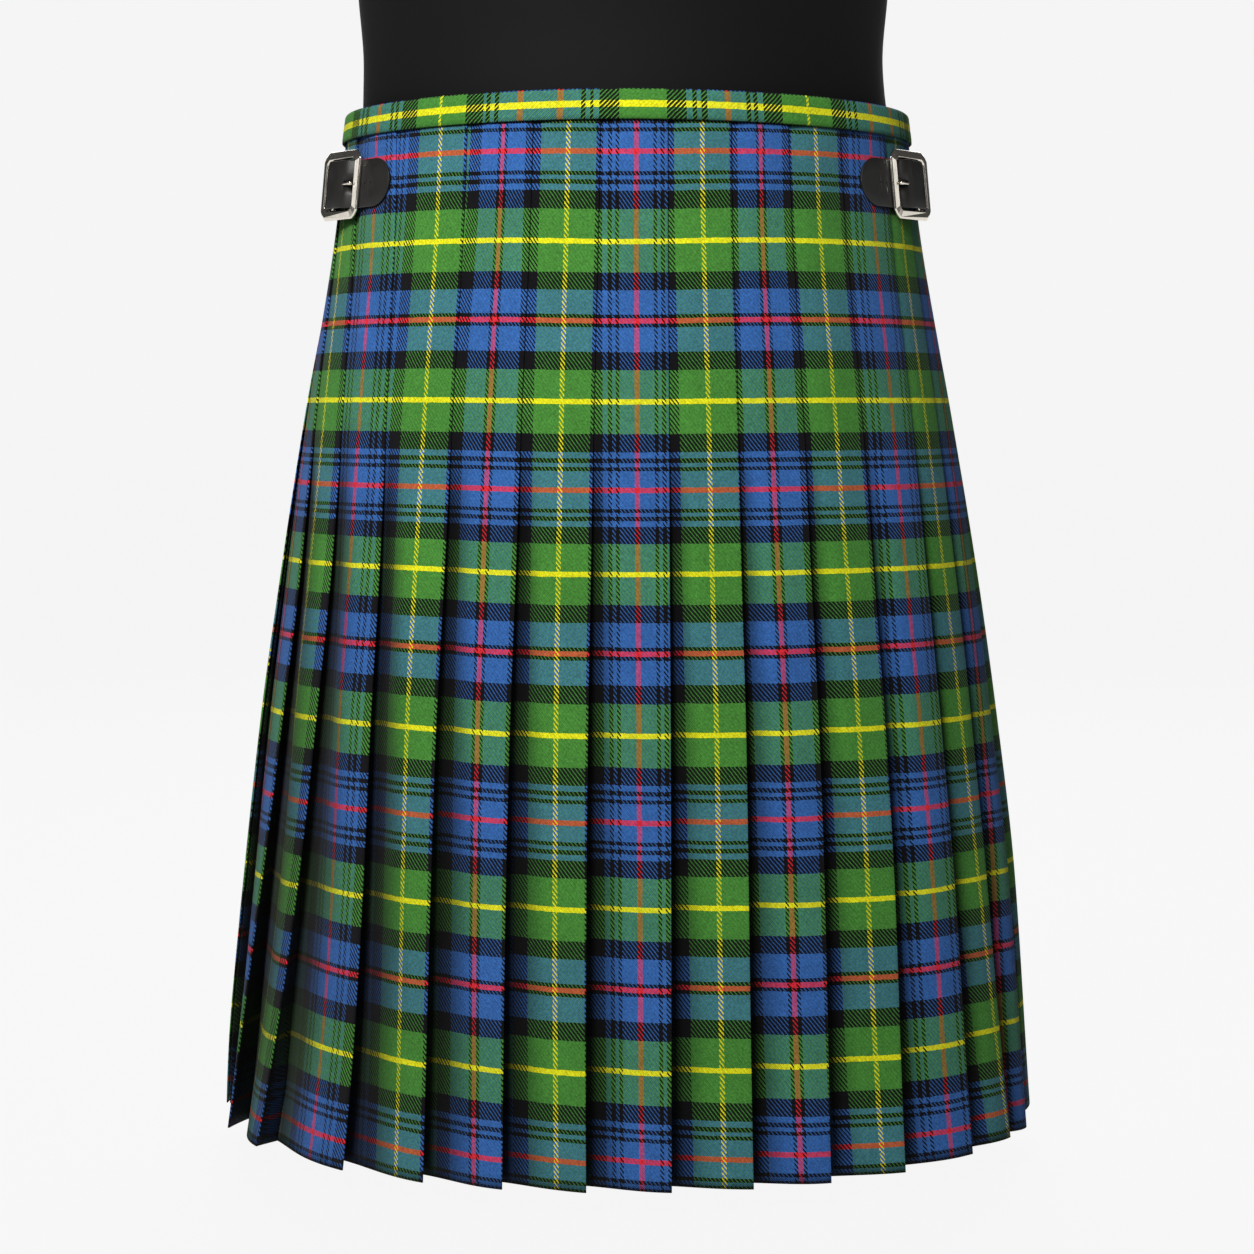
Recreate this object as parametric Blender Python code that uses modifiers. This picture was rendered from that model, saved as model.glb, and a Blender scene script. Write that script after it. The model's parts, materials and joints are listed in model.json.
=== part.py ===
# A scottish kilt on a limbless dress form. Metres, +Z up, the pleated back faces -Y.
# Angles run round the form in degrees: 0 is the middle of the back, +90 is +X, 180 is the middle of the front.
# A drop is a distance below the top edge of the waistband.
import math
from collections import namedtuple

import bmesh
import bpy
from mathutils import Matrix, Vector

HEM_HEIGHT = 0.018
LENGTH = 0.610
TOP_HEIGHT = HEM_HEIGHT + LENGTH
CLOTH = 0.0012
SEAM_GAP = 0.0003

# The outermost ring of the cloth: half width, and depths behind and in front of the axis.
Section = namedtuple("Section", "drop half_width back front")
SHAPE = [
    Section(0.000, 0.1680, 0.1345, 0.1150),
    Section(0.080, 0.1780, 0.1410, 0.1220),
    Section(0.170, 0.1935, 0.1500, 0.1330),
    Section(0.270, 0.2085, 0.1590, 0.1450),
    Section(0.360, 0.2229, 0.1670, 0.1540),
    Section(0.460, 0.2345, 0.1740, 0.1620),
    Section(0.610, 0.2480, 0.1815, 0.1710),
]

# Outer fold edges of the pleats, in degrees at the waist, at the hip and at the hem.
# The first is the folded edge of the outer apron.
HIP_DROP = 0.270
Fold = namedtuple("Fold", "waist hip hem")
FOLDS = [
    Fold(-106.0, -82.0, -93.0),
    Fold(-89.0, -67.5, -75.0),
    Fold(-70.5, -55.4, -61.5),
    Fold(-52.5, -42.7, -41.2),
    Fold(-32.4, -29.7, -27.8),
    Fold(-18.2, -17.5, -16.5),
    Fold(-5.1, -5.7, -5.4),
    Fold(7.6, 6.4, 5.65),
    Fold(20.0, 17.7, 16.5),
    Fold(32.3, 29.5, 27.5),
    Fold(45.6, 41.8, 39.6),
    Fold(62.2, 55.1, 53.4),
    Fold(75.0, 65.5, 65.0),
    Fold(90.0, 77.5, 80.0),
    Fold(106.0, 92.0, 96.0),
]
PLEAT_CLOTH = 0.088
LAYER = 0.0019
FELL_DROP = 0.190
HEM_RISE = 0.016
OPEN_RISE = 0.0055
LEAST_TUCK = 0.003
MOST_TUCK = 0.62
FOLD_NOSE = 0.0008
CLOTH_ROWS = [0.0015, 0.030, 0.080, 0.140, 0.200, 0.260, 0.340, 0.430, 0.520, LENGTH]

APRON_STEP = 6.0
APRON_LEVEL = 0.0050
APRON_LIFT = 0.0012
APRON_SETTLE = 60.0
OVER_FREE_EDGE = (-242.0, -252.0)
UNDER_FREE_EDGE = (234.0, 240.0)

BAND_DEPTH = 0.017
BAND_STEP = 6.0
BAND_GAP = 0.0008
# Angles where the band steps out over the outer apron's folded edge, off the tucked pleats
# on its inner side, and in on to the inner apron.
BAND_STEPS_OUT = (-98.0, -104.0)
BAND_STEPS_OFF = (-116.0, -122.0)
BAND_STEPS_IN = (107.0, 114.0)

STRAP_DROP = 0.0443
STRAP_TURN = math.radians(52.0)
STRAP_LEAN = math.radians(6.3)
STRAP_WIDTH = 0.028
STRAP_THICK = 0.0016
STRAP_SEAT = 0.0035
STRAP_BED = 0.120
STRAP_END = -0.0475
BUCKLE_AWAY = 0.030
BUCKLE_HALF_LENGTH = 0.0195
BUCKLE_HALF_HEIGHT = 0.0203
BUCKLE_BAR = 0.005
BUCKLE_RAIL = 0.004
BUCKLE_HALF_THICK = 0.0012
BUCKLE_ROUNDING = 0.0004
CENTRE_BAR_AT = 0.0085
CENTRE_BAR_HEIGHT = -0.0014
CENTRE_BAR_RADIUS = 0.0009
PRONG_RADIUS = 0.0006
PRONG_GAP = 0.00025
PRONG_TIP_AT = -0.0158

# Middle line of a strap where it passes the buckle: millimetres along the strap from the
# middle of the buckle, and millimetres above the middle plane of its frame.
STRAP_THREADING = [
    (-20.0, -2.35), (-14.2, -2.35), (-12.0, -2.25), (-9.5, -1.60), (-7.0, 0.0), (-4.5, 1.75),
    (-2.0, 2.90), (0.0, 2.70), (4.0, 2.40), (8.5, 2.10), (10.5, 1.50), (13.2, -2.20),
    (14.4, -2.40), (19.0, -2.40),
]
STRAP_FAR = (-86.0, -116.0)
STRAP_CLEARANCE = 0.0046
TAB_FAR = -130.0
TAB_BELOW = 0.00195

FORM_SIDES = 44
FIT_GAP = 0.0024
POLE_RADIUS = 0.0125
BASE_RADIUS = 0.112
BASE_THICK = 0.008

# The form stands inside the outermost ring of the cloth by this inset at each drop.
FormRing = namedtuple("FormRing", "drop inset")
FORM = [
    FormRing(-0.1250, 0.0230),
    FormRing(-0.1230, 0.0125),
    FormRing(-0.1170, 0.0085),
    FormRing(-0.0950, 0.0072),
    FormRing(-0.0700, 0.0088),
    FormRing(-0.0375, 0.0114),
    FormRing(-0.0130, 0.0106),
    FormRing(0.0180, 0.0078),
    FormRing(0.0320, 2 * LAYER + CLOTH + FIT_GAP),
    FormRing(0.0800, 2 * LAYER + CLOTH + FIT_GAP),
    FormRing(0.1400, 2 * LAYER + CLOTH + FIT_GAP),
    FormRing(0.1700, 2 * LAYER + CLOTH + 1.2 * FIT_GAP),
    FormRing(0.2100, 0.0140),
    FormRing(0.2500, 0.0300),
    FormRing(0.2820, 0.0540),
    FormRing(0.3020, 0.0820),
    FormRing(0.3100, 0.1050),
]

part = bpy.data.collections.new("scottish_kilt")
cutters = bpy.data.collections.new("cutters")


def clear_scene():
    for old in list(bpy.data.objects):
        bpy.data.objects.remove(old, do_unlink=True)
    bpy.context.scene.collection.children.link(part)
    bpy.context.scene.collection.children.link(cutters)


def make_material(name, colour, roughness, metallic=0.0):
    material = bpy.data.materials.new(name)
    material.use_nodes = True
    shader = material.node_tree.nodes["Principled BSDF"]
    shader.inputs["Base Color"].default_value = (*colour, 1.0)
    shader.inputs["Roughness"].default_value = roughness
    shader.inputs["Metallic"].default_value = metallic
    return material


def add_object(name, mesh, material, collection=part):
    mesh.materials.clear()
    mesh.materials.append(material)
    item = bpy.data.objects.new(name, mesh)
    collection.objects.link(item)
    return item


def mesh_from(name, points, faces):
    mesh = bpy.data.meshes.new(name)
    work = bmesh.new()
    corners = [work.verts.new(point) for point in points]
    for face in faces:
        work.faces.new([corners[index] for index in face])
    bmesh.ops.recalc_face_normals(work, faces=work.faces)
    work.to_mesh(mesh)
    work.free()
    return mesh


# Shape of the garment

def value_at(rows, drop, column):
    """Smooth curve through one column of a table whose first column is the drop."""
    drops = [row.drop for row in rows]
    values = [getattr(row, column) for row in rows]
    last = len(rows) - 1
    if drop <= drops[0]:
        return values[0]
    if drop >= drops[last]:
        return values[last]
    slopes = []
    for i in range(last + 1):
        low, high = max(i - 1, 0), min(i + 1, last)
        slopes.append((values[high] - values[low]) / (drops[high] - drops[low]))
    i = max(k for k in range(last) if drops[k] <= drop)
    span = drops[i + 1] - drops[i]
    t = (drop - drops[i]) / span
    start = (1 + 2 * t) * (1 - t) ** 2 * values[i] + t * (1 - t) ** 2 * slopes[i] * span
    finish = t * t * (3 - 2 * t) * values[i + 1] - t * t * (1 - t) * slopes[i + 1] * span
    return start + finish


def ring_sizes(drop, angle):
    half_width = value_at(SHAPE, drop, "half_width")
    behind = math.cos(math.radians(angle)) > 0
    return half_width, value_at(SHAPE, drop, "back" if behind else "front")


def ring_point(drop, angle, inset):
    """A point this far inside the outermost ring, in plan."""
    half_width, depth = ring_sizes(drop, angle)
    sine, cosine = math.sin(math.radians(angle)), math.cos(math.radians(angle))
    normal = Vector((depth * sine, -half_width * cosine)).normalized()
    return Vector((half_width * sine, -depth * cosine)) - inset * normal


def degrees_for(drop, angle, length):
    """The angle that a length along the ring takes up near an angle."""
    half_width, depth = ring_sizes(drop, angle)
    across = half_width * math.cos(math.radians(angle))
    along = depth * math.sin(math.radians(angle))
    return math.degrees(length / math.hypot(across, along))


def fold_rise(drop):
    """How far a fold edge stands above the tucked edge: flat in the sewn part, open at the hem."""
    t = max(0.0, drop - FELL_DROP) / (LENGTH - FELL_DROP)
    return 2 * LAYER + (HEM_RISE - 2 * LAYER) * math.sin(t * math.pi / 2)


def fold_angle(fold, drop):
    """A parabola through the fold's angles at the waist, the hip and the hem."""
    at_waist = fold.waist * (drop - HIP_DROP) * (drop - LENGTH) / (HIP_DROP * LENGTH)
    at_hip = fold.hip * drop * (drop - LENGTH) / (HIP_DROP * (HIP_DROP - LENGTH))
    at_hem = fold.hem * drop * (drop - HIP_DROP) / (LENGTH * (LENGTH - HIP_DROP))
    return at_waist + at_hip + at_hem


def pleat_layout(drop):
    """Fold angles, the widths of cloth that show, and the depth tucked under each fold."""
    angles = [fold_angle(fold, drop) for fold in FOLDS]
    widths = []
    for left, right in zip(angles, angles[1:]):
        middle = (left + right) / 2
        widths.append((right - left) / degrees_for(drop, middle, 1.0))
    rise = fold_rise(drop)
    tucks = []
    for i in range(len(FOLDS)):
        shown = widths[min(i, len(widths) - 1)]
        least = min(widths[max(i - 1, 0)], shown)
        spare = PLEAT_CLOTH - shown
        tuck = (spare ** 2 - rise ** 2) / (2 * spare)
        tucks.append(min(max(tuck, LEAST_TUCK), MOST_TUCK * least))
    return angles, widths, tucks


def pleat_line(drop):
    """The middle of the cloth in plan, folded to and fro round the back."""
    angles, widths, tucks = pleat_layout(drop)
    rise = fold_rise(drop)
    openness = min(1.0, max(0.0, (rise - OPEN_RISE) / (HEM_RISE - OPEN_RISE)))
    points = []

    def put(angle, level):
        points.append(ring_point(drop, angle, rise + CLOTH / 2 - level))

    for i, angle in enumerate(angles):
        tuck = tucks[i]
        tuck_angle = angle - degrees_for(drop, angle, tuck)
        nose = degrees_for(drop, angle, FOLD_NOSE)
        if i > 0:
            width = widths[i - 1]
            under = tucks[i - 1]
            total = width + under
            stops = [0.0, under / 2, under, (under + total - tuck) / 2, total - tuck, total - tuck / 2, total]
            folded = [0.0, 0.0, 0.0, rise / 2, rise, rise, rise]
            before = angles[i - 1]
            start = before - degrees_for(drop, before, under)
            places = [
                start, (start + before) / 2, before, (before + tuck_angle) / 2,
                tuck_angle, (tuck_angle + angle) / 2, angle,
            ]
            for stop, flat, place in zip(stops, folded, places):
                put(place, flat + openness * (rise * stop / total - flat))
            put(angle + nose, rise - LAYER / 2)
            put(angle, rise - LAYER)
        else:
            put(angle - 2 * nose, rise - LAYER)
        put(tuck_angle, LAYER)
        put(tuck_angle - nose, LAYER / 2)
    put(tuck_angle, 0.0)
    put((tuck_angle + angles[-1]) / 2, 0.0)
    put(angles[-1] + nose, 0.0)
    return points


def over_apron_line(drop):
    rise = fold_rise(drop)
    t = drop / LENGTH
    free = OVER_FREE_EDGE[0] + (OVER_FREE_EDGE[1] - OVER_FREE_EDGE[0]) * t
    folded = fold_angle(FOLDS[0], drop)
    count = round((FOLDS[0].waist - OVER_FREE_EDGE[0]) / APRON_STEP)
    points = []
    for i in range(count + 1):
        angle = free + (folded - free) * i / count
        settle = min(1.0, (folded - angle) / APRON_SETTLE)
        settle = settle * settle * (3 - 2 * settle)
        level = (rise + APRON_LIFT) * (1 - settle) + APRON_LEVEL * settle
        points.append(ring_point(drop, angle, rise + CLOTH / 2 - level))
    return points


def under_apron_line(drop):
    rise = fold_rise(drop)
    last = fold_angle(FOLDS[-1], drop)
    seam = last + degrees_for(drop, last, FOLD_NOSE + SEAM_GAP)
    free = UNDER_FREE_EDGE[0] + (UNDER_FREE_EDGE[1] - UNDER_FREE_EDGE[0]) * drop / LENGTH
    count = round((UNDER_FREE_EDGE[0] - FOLDS[-1].waist) / APRON_STEP)
    angles = [seam + (free - seam) * i / count for i in range(count + 1)]
    return [ring_point(drop, angle, rise + CLOTH / 2) for angle in angles]


def offset_line(points, distance):
    """An open line moved sideways, to the right of its direction, with mitred corners."""
    moved = []
    for i, point in enumerate(points):
        sides = []
        for first, second in ((i - 1, i), (i, i + 1)):
            if 0 <= first and second < len(points):
                step = (points[second] - points[first]).normalized()
                sides.append(Vector((step.y, -step.x)))
        middle = (sides[0] + sides[-1]).normalized()
        moved.append(point + middle * (distance / middle.dot(sides[0])))
    return moved


def cloth_wall(name, line_at, material):
    """A wall of cloth lofted down through plan lines that have the same number of points."""
    points = []
    for drop in CLOTH_ROWS:
        middle = line_at(drop)
        for side in (1, -1):
            for point in offset_line(middle, side * CLOTH / 2):
                points.append((point.x, point.y, TOP_HEIGHT - drop))
    count = len(middle)
    faces = []

    def index(row, side, i):
        return (row * 2 + side) * count + i

    for row in range(len(CLOTH_ROWS) - 1):
        for i in range(count - 1):
            for side in (0, 1):
                a, b = index(row, side, i), index(row, side, i + 1)
                c, d = index(row + 1, side, i + 1), index(row + 1, side, i)
                faces += [(a, b, c), (a, c, d)]
        for i in (0, count - 1):
            faces.append((index(row, 0, i), index(row, 1, i), index(row + 1, 1, i), index(row + 1, 0, i)))
    for row in (0, len(CLOTH_ROWS) - 1):
        for i in range(count - 1):
            faces.append((index(row, 0, i), index(row, 0, i + 1), index(row, 1, i + 1), index(row, 1, i)))
    return add_object(name, mesh_from(name, points, faces), material)


# Waistband

def part_way(angle, start, finish):
    return min(1.0, max(0.0, (angle - start) / (finish - start)))


def band_levels(angle):
    """Inner and outer room in the band, as levels above the tucked cloth at this angle."""
    pleats = 2 * LAYER
    room = CLOTH / 2 + BAND_GAP
    outside = part_way(angle, *BAND_STEPS_OUT)
    inside = part_way(angle, *BAND_STEPS_OFF)
    under = part_way(angle, *BAND_STEPS_IN)
    inner = -room + inside * APRON_LEVEL
    outer = pleats + room + outside * (APRON_LEVEL - pleats) - under * pleats
    return inner, outer


def make_waistband(material):
    """A strip folded over the top edge: an upside-down U all round, with lapped ends."""
    start, finish = OVER_FREE_EDGE[0], UNDER_FREE_EDGE[0]
    count = round((finish - start) / BAND_STEP)
    base = 2 * LAYER + CLOTH / 2
    points = []
    for i in range(count + 1):
        angle = start + (finish - start) * i / count
        inner, outer = band_levels(angle)
        profile = [
            (outer + CLOTH, BAND_DEPTH), (outer + CLOTH, 0.0), (inner - CLOTH, 0.0),
            (inner - CLOTH, BAND_DEPTH), (inner, BAND_DEPTH), (inner, CLOTH),
            (outer, CLOTH), (outer, BAND_DEPTH),
        ]
        for level, drop in profile:
            place = ring_point(0.0, angle, base - level)
            lean = (ring_point(BAND_DEPTH, angle, 0.0) - ring_point(0.0, angle, 0.0)) * drop / BAND_DEPTH
            points.append((place.x + lean.x, place.y + lean.y, TOP_HEIGHT - drop))
    size = len(profile)
    faces = []
    for i in range(count):
        for k in range(size):
            a, b = i * size + k, i * size + (k + 1) % size
            faces.append((a, b, b + size, a + size))
    for i in (0, count):
        outer_half = [i * size + k for k in (0, 1, 6, 7)]
        top = [i * size + k for k in (1, 2, 5, 6)]
        inner_half = [i * size + k for k in (2, 3, 4, 5)]
        faces += [outer_half, top, inner_half]
    return add_object("waistband", mesh_from("waistband", points, faces), material)


# Straps and buckles

def buckle_frame_of(side):
    """Matrix of a buckle: X along the strap away from the pleats, Z out from the cloth."""
    half_width, depth = ring_sizes(STRAP_DROP, 0.0)
    touch = math.degrees(math.atan(math.tan(STRAP_TURN) * half_width / depth))
    base = ring_point(STRAP_DROP, touch * side, -STRAP_SEAT)
    along = Vector((side * math.cos(STRAP_TURN), math.sin(STRAP_TURN), 0.0))
    level_out = Vector((side * math.sin(STRAP_TURN), -math.cos(STRAP_TURN), 0.0))
    out = level_out * math.cos(STRAP_LEAN) + Vector((0.0, 0.0, math.sin(STRAP_LEAN)))
    across = out.cross(along)
    place = Vector((base.x, base.y, TOP_HEIGHT - STRAP_DROP)) + along * BUCKLE_AWAY
    turn = Matrix((along, across, out)).transposed().to_4x4()
    return Matrix.Translation(place) @ turn


def far_point(side, angle, clearance):
    place = ring_point(STRAP_DROP, angle * -side, -clearance)
    return Vector((place.x, place.y, TOP_HEIGHT - STRAP_DROP))


def far_route(side, last_near, control, clearance, finish):
    """From the buckle's outer bar round to the apron, as points in space."""
    landing = far_point(side, STRAP_FAR[0], clearance)
    points = []
    for t in (0.2, 0.4, 0.6, 0.8, 1.0):
        points.append(last_near * (1 - t) ** 2 + control * 2 * t * (1 - t) + landing * t * t)
    count = round((STRAP_FAR[0] - finish) / APRON_STEP)
    for i in range(1, count + 1):
        points.append(far_point(side, STRAP_FAR[0] + (finish - STRAP_FAR[0]) * i / count, clearance))
    return points


def strip_solid(name, side, frame, near_count, route, half_widths, material):
    """A flat strip of leather: square to the buckle for its first points, then leaning with the cloth."""
    points = []
    for i, place in enumerate(route):
        ahead = (route[min(i + 1, len(route) - 1)] - route[max(i - 1, 0)]).normalized()
        across = frame.col[1].to_3d()
        if i >= near_count:
            level_out = Vector((ahead.y, -ahead.x, 0.0)).normalized() * side
            leaning = level_out * math.cos(STRAP_LEAN) + Vector((0.0, 0.0, math.sin(STRAP_LEAN)))
            across = leaning.cross(ahead).normalized()
        out = ahead.cross(across).normalized()
        for wide, thick in ((1, 1), (1, -1), (-1, -1), (-1, 1)):
            points.append(place + across * wide * half_widths[i] + out * thick * STRAP_THICK / 2)
    faces = [(0, 1, 2, 3), tuple(len(points) - 4 + k for k in range(4))]
    for i in range(len(route) - 1):
        for k in range(4):
            a, b = i * 4 + k, i * 4 + (k + 1) % 4
            faces.append((a, b, b + 4, a + 4))
    return add_object(name, mesh_from(name, points, faces), material)


def cut(item, cutter):
    cutter.hide_render = True
    cutter.display_type = "WIRE"
    boolean = item.modifiers.new("cut", "BOOLEAN")
    boolean.operation = "DIFFERENCE"
    boolean.object = cutter


def box_cutter(name, size, centre, frame, material):
    work = bmesh.new()
    bmesh.ops.create_cube(work, size=1.0)
    bmesh.ops.scale(work, vec=size, verts=work.verts)
    bmesh.ops.translate(work, vec=centre, verts=work.verts)
    mesh = bpy.data.meshes.new(name)
    work.to_mesh(mesh)
    work.free()
    cutter = add_object(name, mesh, material, cutters)
    cutter.matrix_world = frame
    return cutter


def make_strap(side, word, frame, material):
    """A strap from its round end on the pleats, under and over the bars, to its far end."""
    half = STRAP_WIDTH / 2
    near = []
    widths = []
    for share in (0.0, 0.07, 0.2, 0.4, 0.7, 1.0):
        distance = share * half
        along = STRAP_END + distance
        bed = -0.00235 - (along + BUCKLE_AWAY) ** 2 / (2 * STRAP_BED)
        near.append(frame @ Vector((along, 0.0, bed)))
        widths.append(max(half * math.sqrt(1 - (1 - share) ** 2), half * 0.16))
    for along, height in STRAP_THREADING:
        near.append(frame @ Vector((along / 1000, 0.0, height / 1000)))
        widths.append(half)
    control = frame @ Vector((BUCKLE_HALF_LENGTH + 0.0015, 0.0, -0.00235))
    route = near + far_route(side, near[-1], control, STRAP_CLEARANCE, STRAP_FAR[1])
    widths += [half] * (len(route) - len(widths))
    for back, share in ((1, 0.45), (2, 0.85)):
        widths[-back] = half * share
    strap = strip_solid("strap_" + word, side, frame, len(near), route, widths, material)
    slot = box_cutter("strap_slot_" + word, (0.0070, 0.0026, 0.0090), (-0.0053, 0.0, 0.0), frame, material)
    cut(strap, slot)
    return strap


def make_tab(side, word, frame, material):
    """The piece that holds the buckle: hooked round the centre bar, sewn to the apron."""
    reach = CENTRE_BAR_RADIUS + PRONG_GAP + STRAP_THICK / 2
    near = []
    for turn in (180, 205, 230, 255, 280):
        turn = math.radians(turn)
        near.append(Vector((
            CENTRE_BAR_AT + reach * math.cos(turn), 0.0, CENTRE_BAR_HEIGHT + reach * math.sin(turn))))
    near += [Vector((0.0118, 0.0, -0.0039)), Vector((0.0142, 0.0, -0.0043)), Vector((0.0190, 0.0, -0.0043))]
    near = [frame @ place for place in near]
    control = frame @ Vector((BUCKLE_HALF_LENGTH + 0.0005, 0.0, -0.0043))
    far = far_route(side, near[-1], control, STRAP_CLEARANCE - TAB_BELOW, TAB_FAR)
    route = near + far
    widths = [STRAP_WIDTH / 2] * len(route)
    tab = strip_solid("buckle_tab_" + word, side, frame, len(near), route, widths, material)
    slot = box_cutter("tab_slot_" + word, (0.0085, 0.0036, 0.0080), (0.0083, 0.0, -0.0022), frame, material)
    cut(tab, slot)
    return tab


def chamfered(half_length, half_height, chamfer):
    corners = []
    for x, y in ((1, 1), (-1, 1), (-1, -1), (1, -1)):
        first = (x * half_length, y * (half_height - chamfer))
        second = (x * (half_length - chamfer), y * half_height)
        corners += [first, second] if x * y > 0 else [second, first]
    return corners


def make_buckle(side, word, frame, material):
    """A flat frame with a hole, from a filled outline, and a centre bar joined to its rails."""
    outline = bpy.data.curves.new("buckle_outline", "CURVE")
    outline.dimensions = "2D"
    outline.fill_mode = "BOTH"
    outline.extrude = BUCKLE_HALF_THICK - BUCKLE_ROUNDING
    outline.bevel_depth = BUCKLE_ROUNDING
    outline.bevel_resolution = 0
    loops = [
        chamfered(BUCKLE_HALF_LENGTH - BUCKLE_ROUNDING, BUCKLE_HALF_HEIGHT - BUCKLE_ROUNDING, 0.0050),
        chamfered(BUCKLE_HALF_LENGTH - BUCKLE_BAR + BUCKLE_ROUNDING,
                  BUCKLE_HALF_HEIGHT - BUCKLE_RAIL + BUCKLE_ROUNDING, 0.0022),
    ]
    for loop in loops:
        spline = outline.splines.new("POLY")
        spline.points.add(len(loop) - 1)
        for point, (x, y) in zip(spline.points, loop):
            point.co = (x, y, 0.0, 1.0)
        spline.use_cyclic_u = True
    drawn = bpy.data.objects.new("buckle_outline", outline)
    part.objects.link(drawn)
    shape = drawn.evaluated_get(bpy.context.evaluated_depsgraph_get())
    mesh = bpy.data.meshes.new_from_object(shape)
    bpy.data.objects.remove(drawn)
    work = bmesh.new()
    work.from_mesh(mesh)
    bmesh.ops.remove_doubles(work, verts=work.verts, dist=0.00001)
    work.to_mesh(mesh)
    work.free()
    buckle = add_object("buckle_frame_" + word, mesh, material)
    buckle.matrix_world = frame

    work = bmesh.new()
    bmesh.ops.create_cone(work, cap_ends=True, segments=12, radius1=CENTRE_BAR_RADIUS,
                          radius2=CENTRE_BAR_RADIUS, depth=2 * BUCKLE_HALF_HEIGHT - BUCKLE_RAIL)
    bar_mesh = bpy.data.meshes.new("centre_bar_" + word)
    bmesh.ops.rotate(work, matrix=Matrix.Rotation(math.radians(90), 3, "X"), verts=work.verts)
    bmesh.ops.translate(work, vec=(CENTRE_BAR_AT, 0.0, CENTRE_BAR_HEIGHT), verts=work.verts)
    work.to_mesh(bar_mesh)
    work.free()
    bar = add_object("centre_bar_" + word, bar_mesh, material, cutters)
    bar.matrix_world = frame
    cut(buckle, bar)
    buckle.modifiers["cut"].operation = "UNION"
    return buckle


def make_prong(word, frame, material):
    """A wire looped round the centre bar, its tip resting on the near bar."""
    reach = CENTRE_BAR_RADIUS + PRONG_GAP + PRONG_RADIUS
    path = []
    for turn in (-130, -95, -60, -25, 10, 45, 75):
        turn = math.radians(turn)
        path.append((CENTRE_BAR_AT + reach * math.cos(turn), CENTRE_BAR_HEIGHT + reach * math.sin(turn)))
    path.append((CENTRE_BAR_AT - 0.001, CENTRE_BAR_HEIGHT + reach))
    path.append((PRONG_TIP_AT, BUCKLE_HALF_THICK + PRONG_GAP + PRONG_RADIUS))
    wire = bpy.data.curves.new("prong_wire", "CURVE")
    wire.dimensions = "3D"
    wire.bevel_depth = PRONG_RADIUS
    wire.bevel_resolution = 1
    wire.use_fill_caps = True
    spline = wire.splines.new("POLY")
    spline.points.add(len(path) - 1)
    for point, (along, height) in zip(spline.points, path):
        point.co = (along, 0.0, height, 1.0)
    prong = bpy.data.objects.new("buckle_prong_" + word, wire)
    wire.materials.append(material)
    part.objects.link(prong)
    prong.matrix_world = frame
    return prong


# Dress form

def make_torso(material):
    points = []
    for ring in FORM:
        for i in range(FORM_SIDES):
            place = ring_point(ring.drop, 360.0 * i / FORM_SIDES, ring.inset)
            points.append((place.x, place.y, TOP_HEIGHT - ring.drop))
    faces = [tuple(range(FORM_SIDES)), tuple(range(len(points) - FORM_SIDES, len(points)))]
    for row in range(len(FORM) - 1):
        for i in range(FORM_SIDES):
            a, b = row * FORM_SIDES + i, row * FORM_SIDES + (i + 1) % FORM_SIDES
            faces.append((a, b, b + FORM_SIDES, a + FORM_SIDES))
    return add_object("form_torso", mesh_from("form_torso", points, faces), material)


def make_turned(name, profile, material, steps=32):
    """A profile of radius and height, top to bottom on its outer side, turned about the axis."""
    mesh = bpy.data.meshes.new(name)
    edges = [(i, i + 1) for i in range(len(profile) - 1)]
    mesh.from_pydata([(radius, 0.0, height) for radius, height in profile], edges, [])
    item = add_object(name, mesh, material)
    screw = item.modifiers.new("turn", "SCREW")
    screw.steps = steps
    screw.render_steps = steps
    screw.use_merge_vertices = True
    screw.merge_threshold = 0.00005
    return item


def make_stand(material):
    under_form = TOP_HEIGHT - FORM[-1].drop - SEAM_GAP
    on_base = BASE_THICK + SEAM_GAP
    pole = [
        (0.0, under_form), (0.040, under_form), (0.040, under_form - 0.005),
        (0.018, under_form - 0.008), (POLE_RADIUS, under_form - 0.014),
        (POLE_RADIUS, on_base + 0.014), (0.022, on_base + 0.010), (0.022, on_base), (0.0, on_base),
    ]
    base = [
        (0.0, BASE_THICK), (BASE_RADIUS - 0.002, BASE_THICK), (BASE_RADIUS, BASE_THICK - 0.002),
        (BASE_RADIUS, 0.001), (BASE_RADIUS - 0.001, 0.0), (0.0, 0.0),
    ]
    return [make_turned("form_pole", pole, material, 24), make_turned("form_base", base, material, 40)]


def stand_on_origin(items):
    """Hold every piece on one empty and move it so that the whole stands centred on the origin."""
    holder = bpy.data.objects.new("kilt_origin", None)
    part.objects.link(holder)
    bpy.context.view_layer.update()
    graph = bpy.context.evaluated_depsgraph_get()
    corners = []
    for item in items:
        shape = item.evaluated_get(graph)
        mesh = shape.to_mesh()
        corners += [item.matrix_world @ vertex.co for vertex in mesh.vertices]
        shape.to_mesh_clear()
    middle_x = (min(p.x for p in corners) + max(p.x for p in corners)) / 2
    middle_y = (min(p.y for p in corners) + max(p.y for p in corners)) / 2
    for item in items + list(cutters.objects):
        item.parent = holder
    holder.location = (-middle_x, -middle_y, 0.0)


clear_scene()
tartan = make_material("tartan_wool", (0.05, 0.19, 0.12), 0.85)
band_tartan = make_material("tartan_wool_band", (0.10, 0.28, 0.05), 0.85)
leather = make_material("black_leather", (0.015, 0.015, 0.016), 0.40)
nickel = make_material("nickel_plate", (0.75, 0.72, 0.68), 0.22, 1.0)
form_cover = make_material("form_cover", (0.012, 0.012, 0.013), 0.60)
form_metal = make_material("form_metal", (0.03, 0.03, 0.03), 0.45, 0.6)

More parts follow.
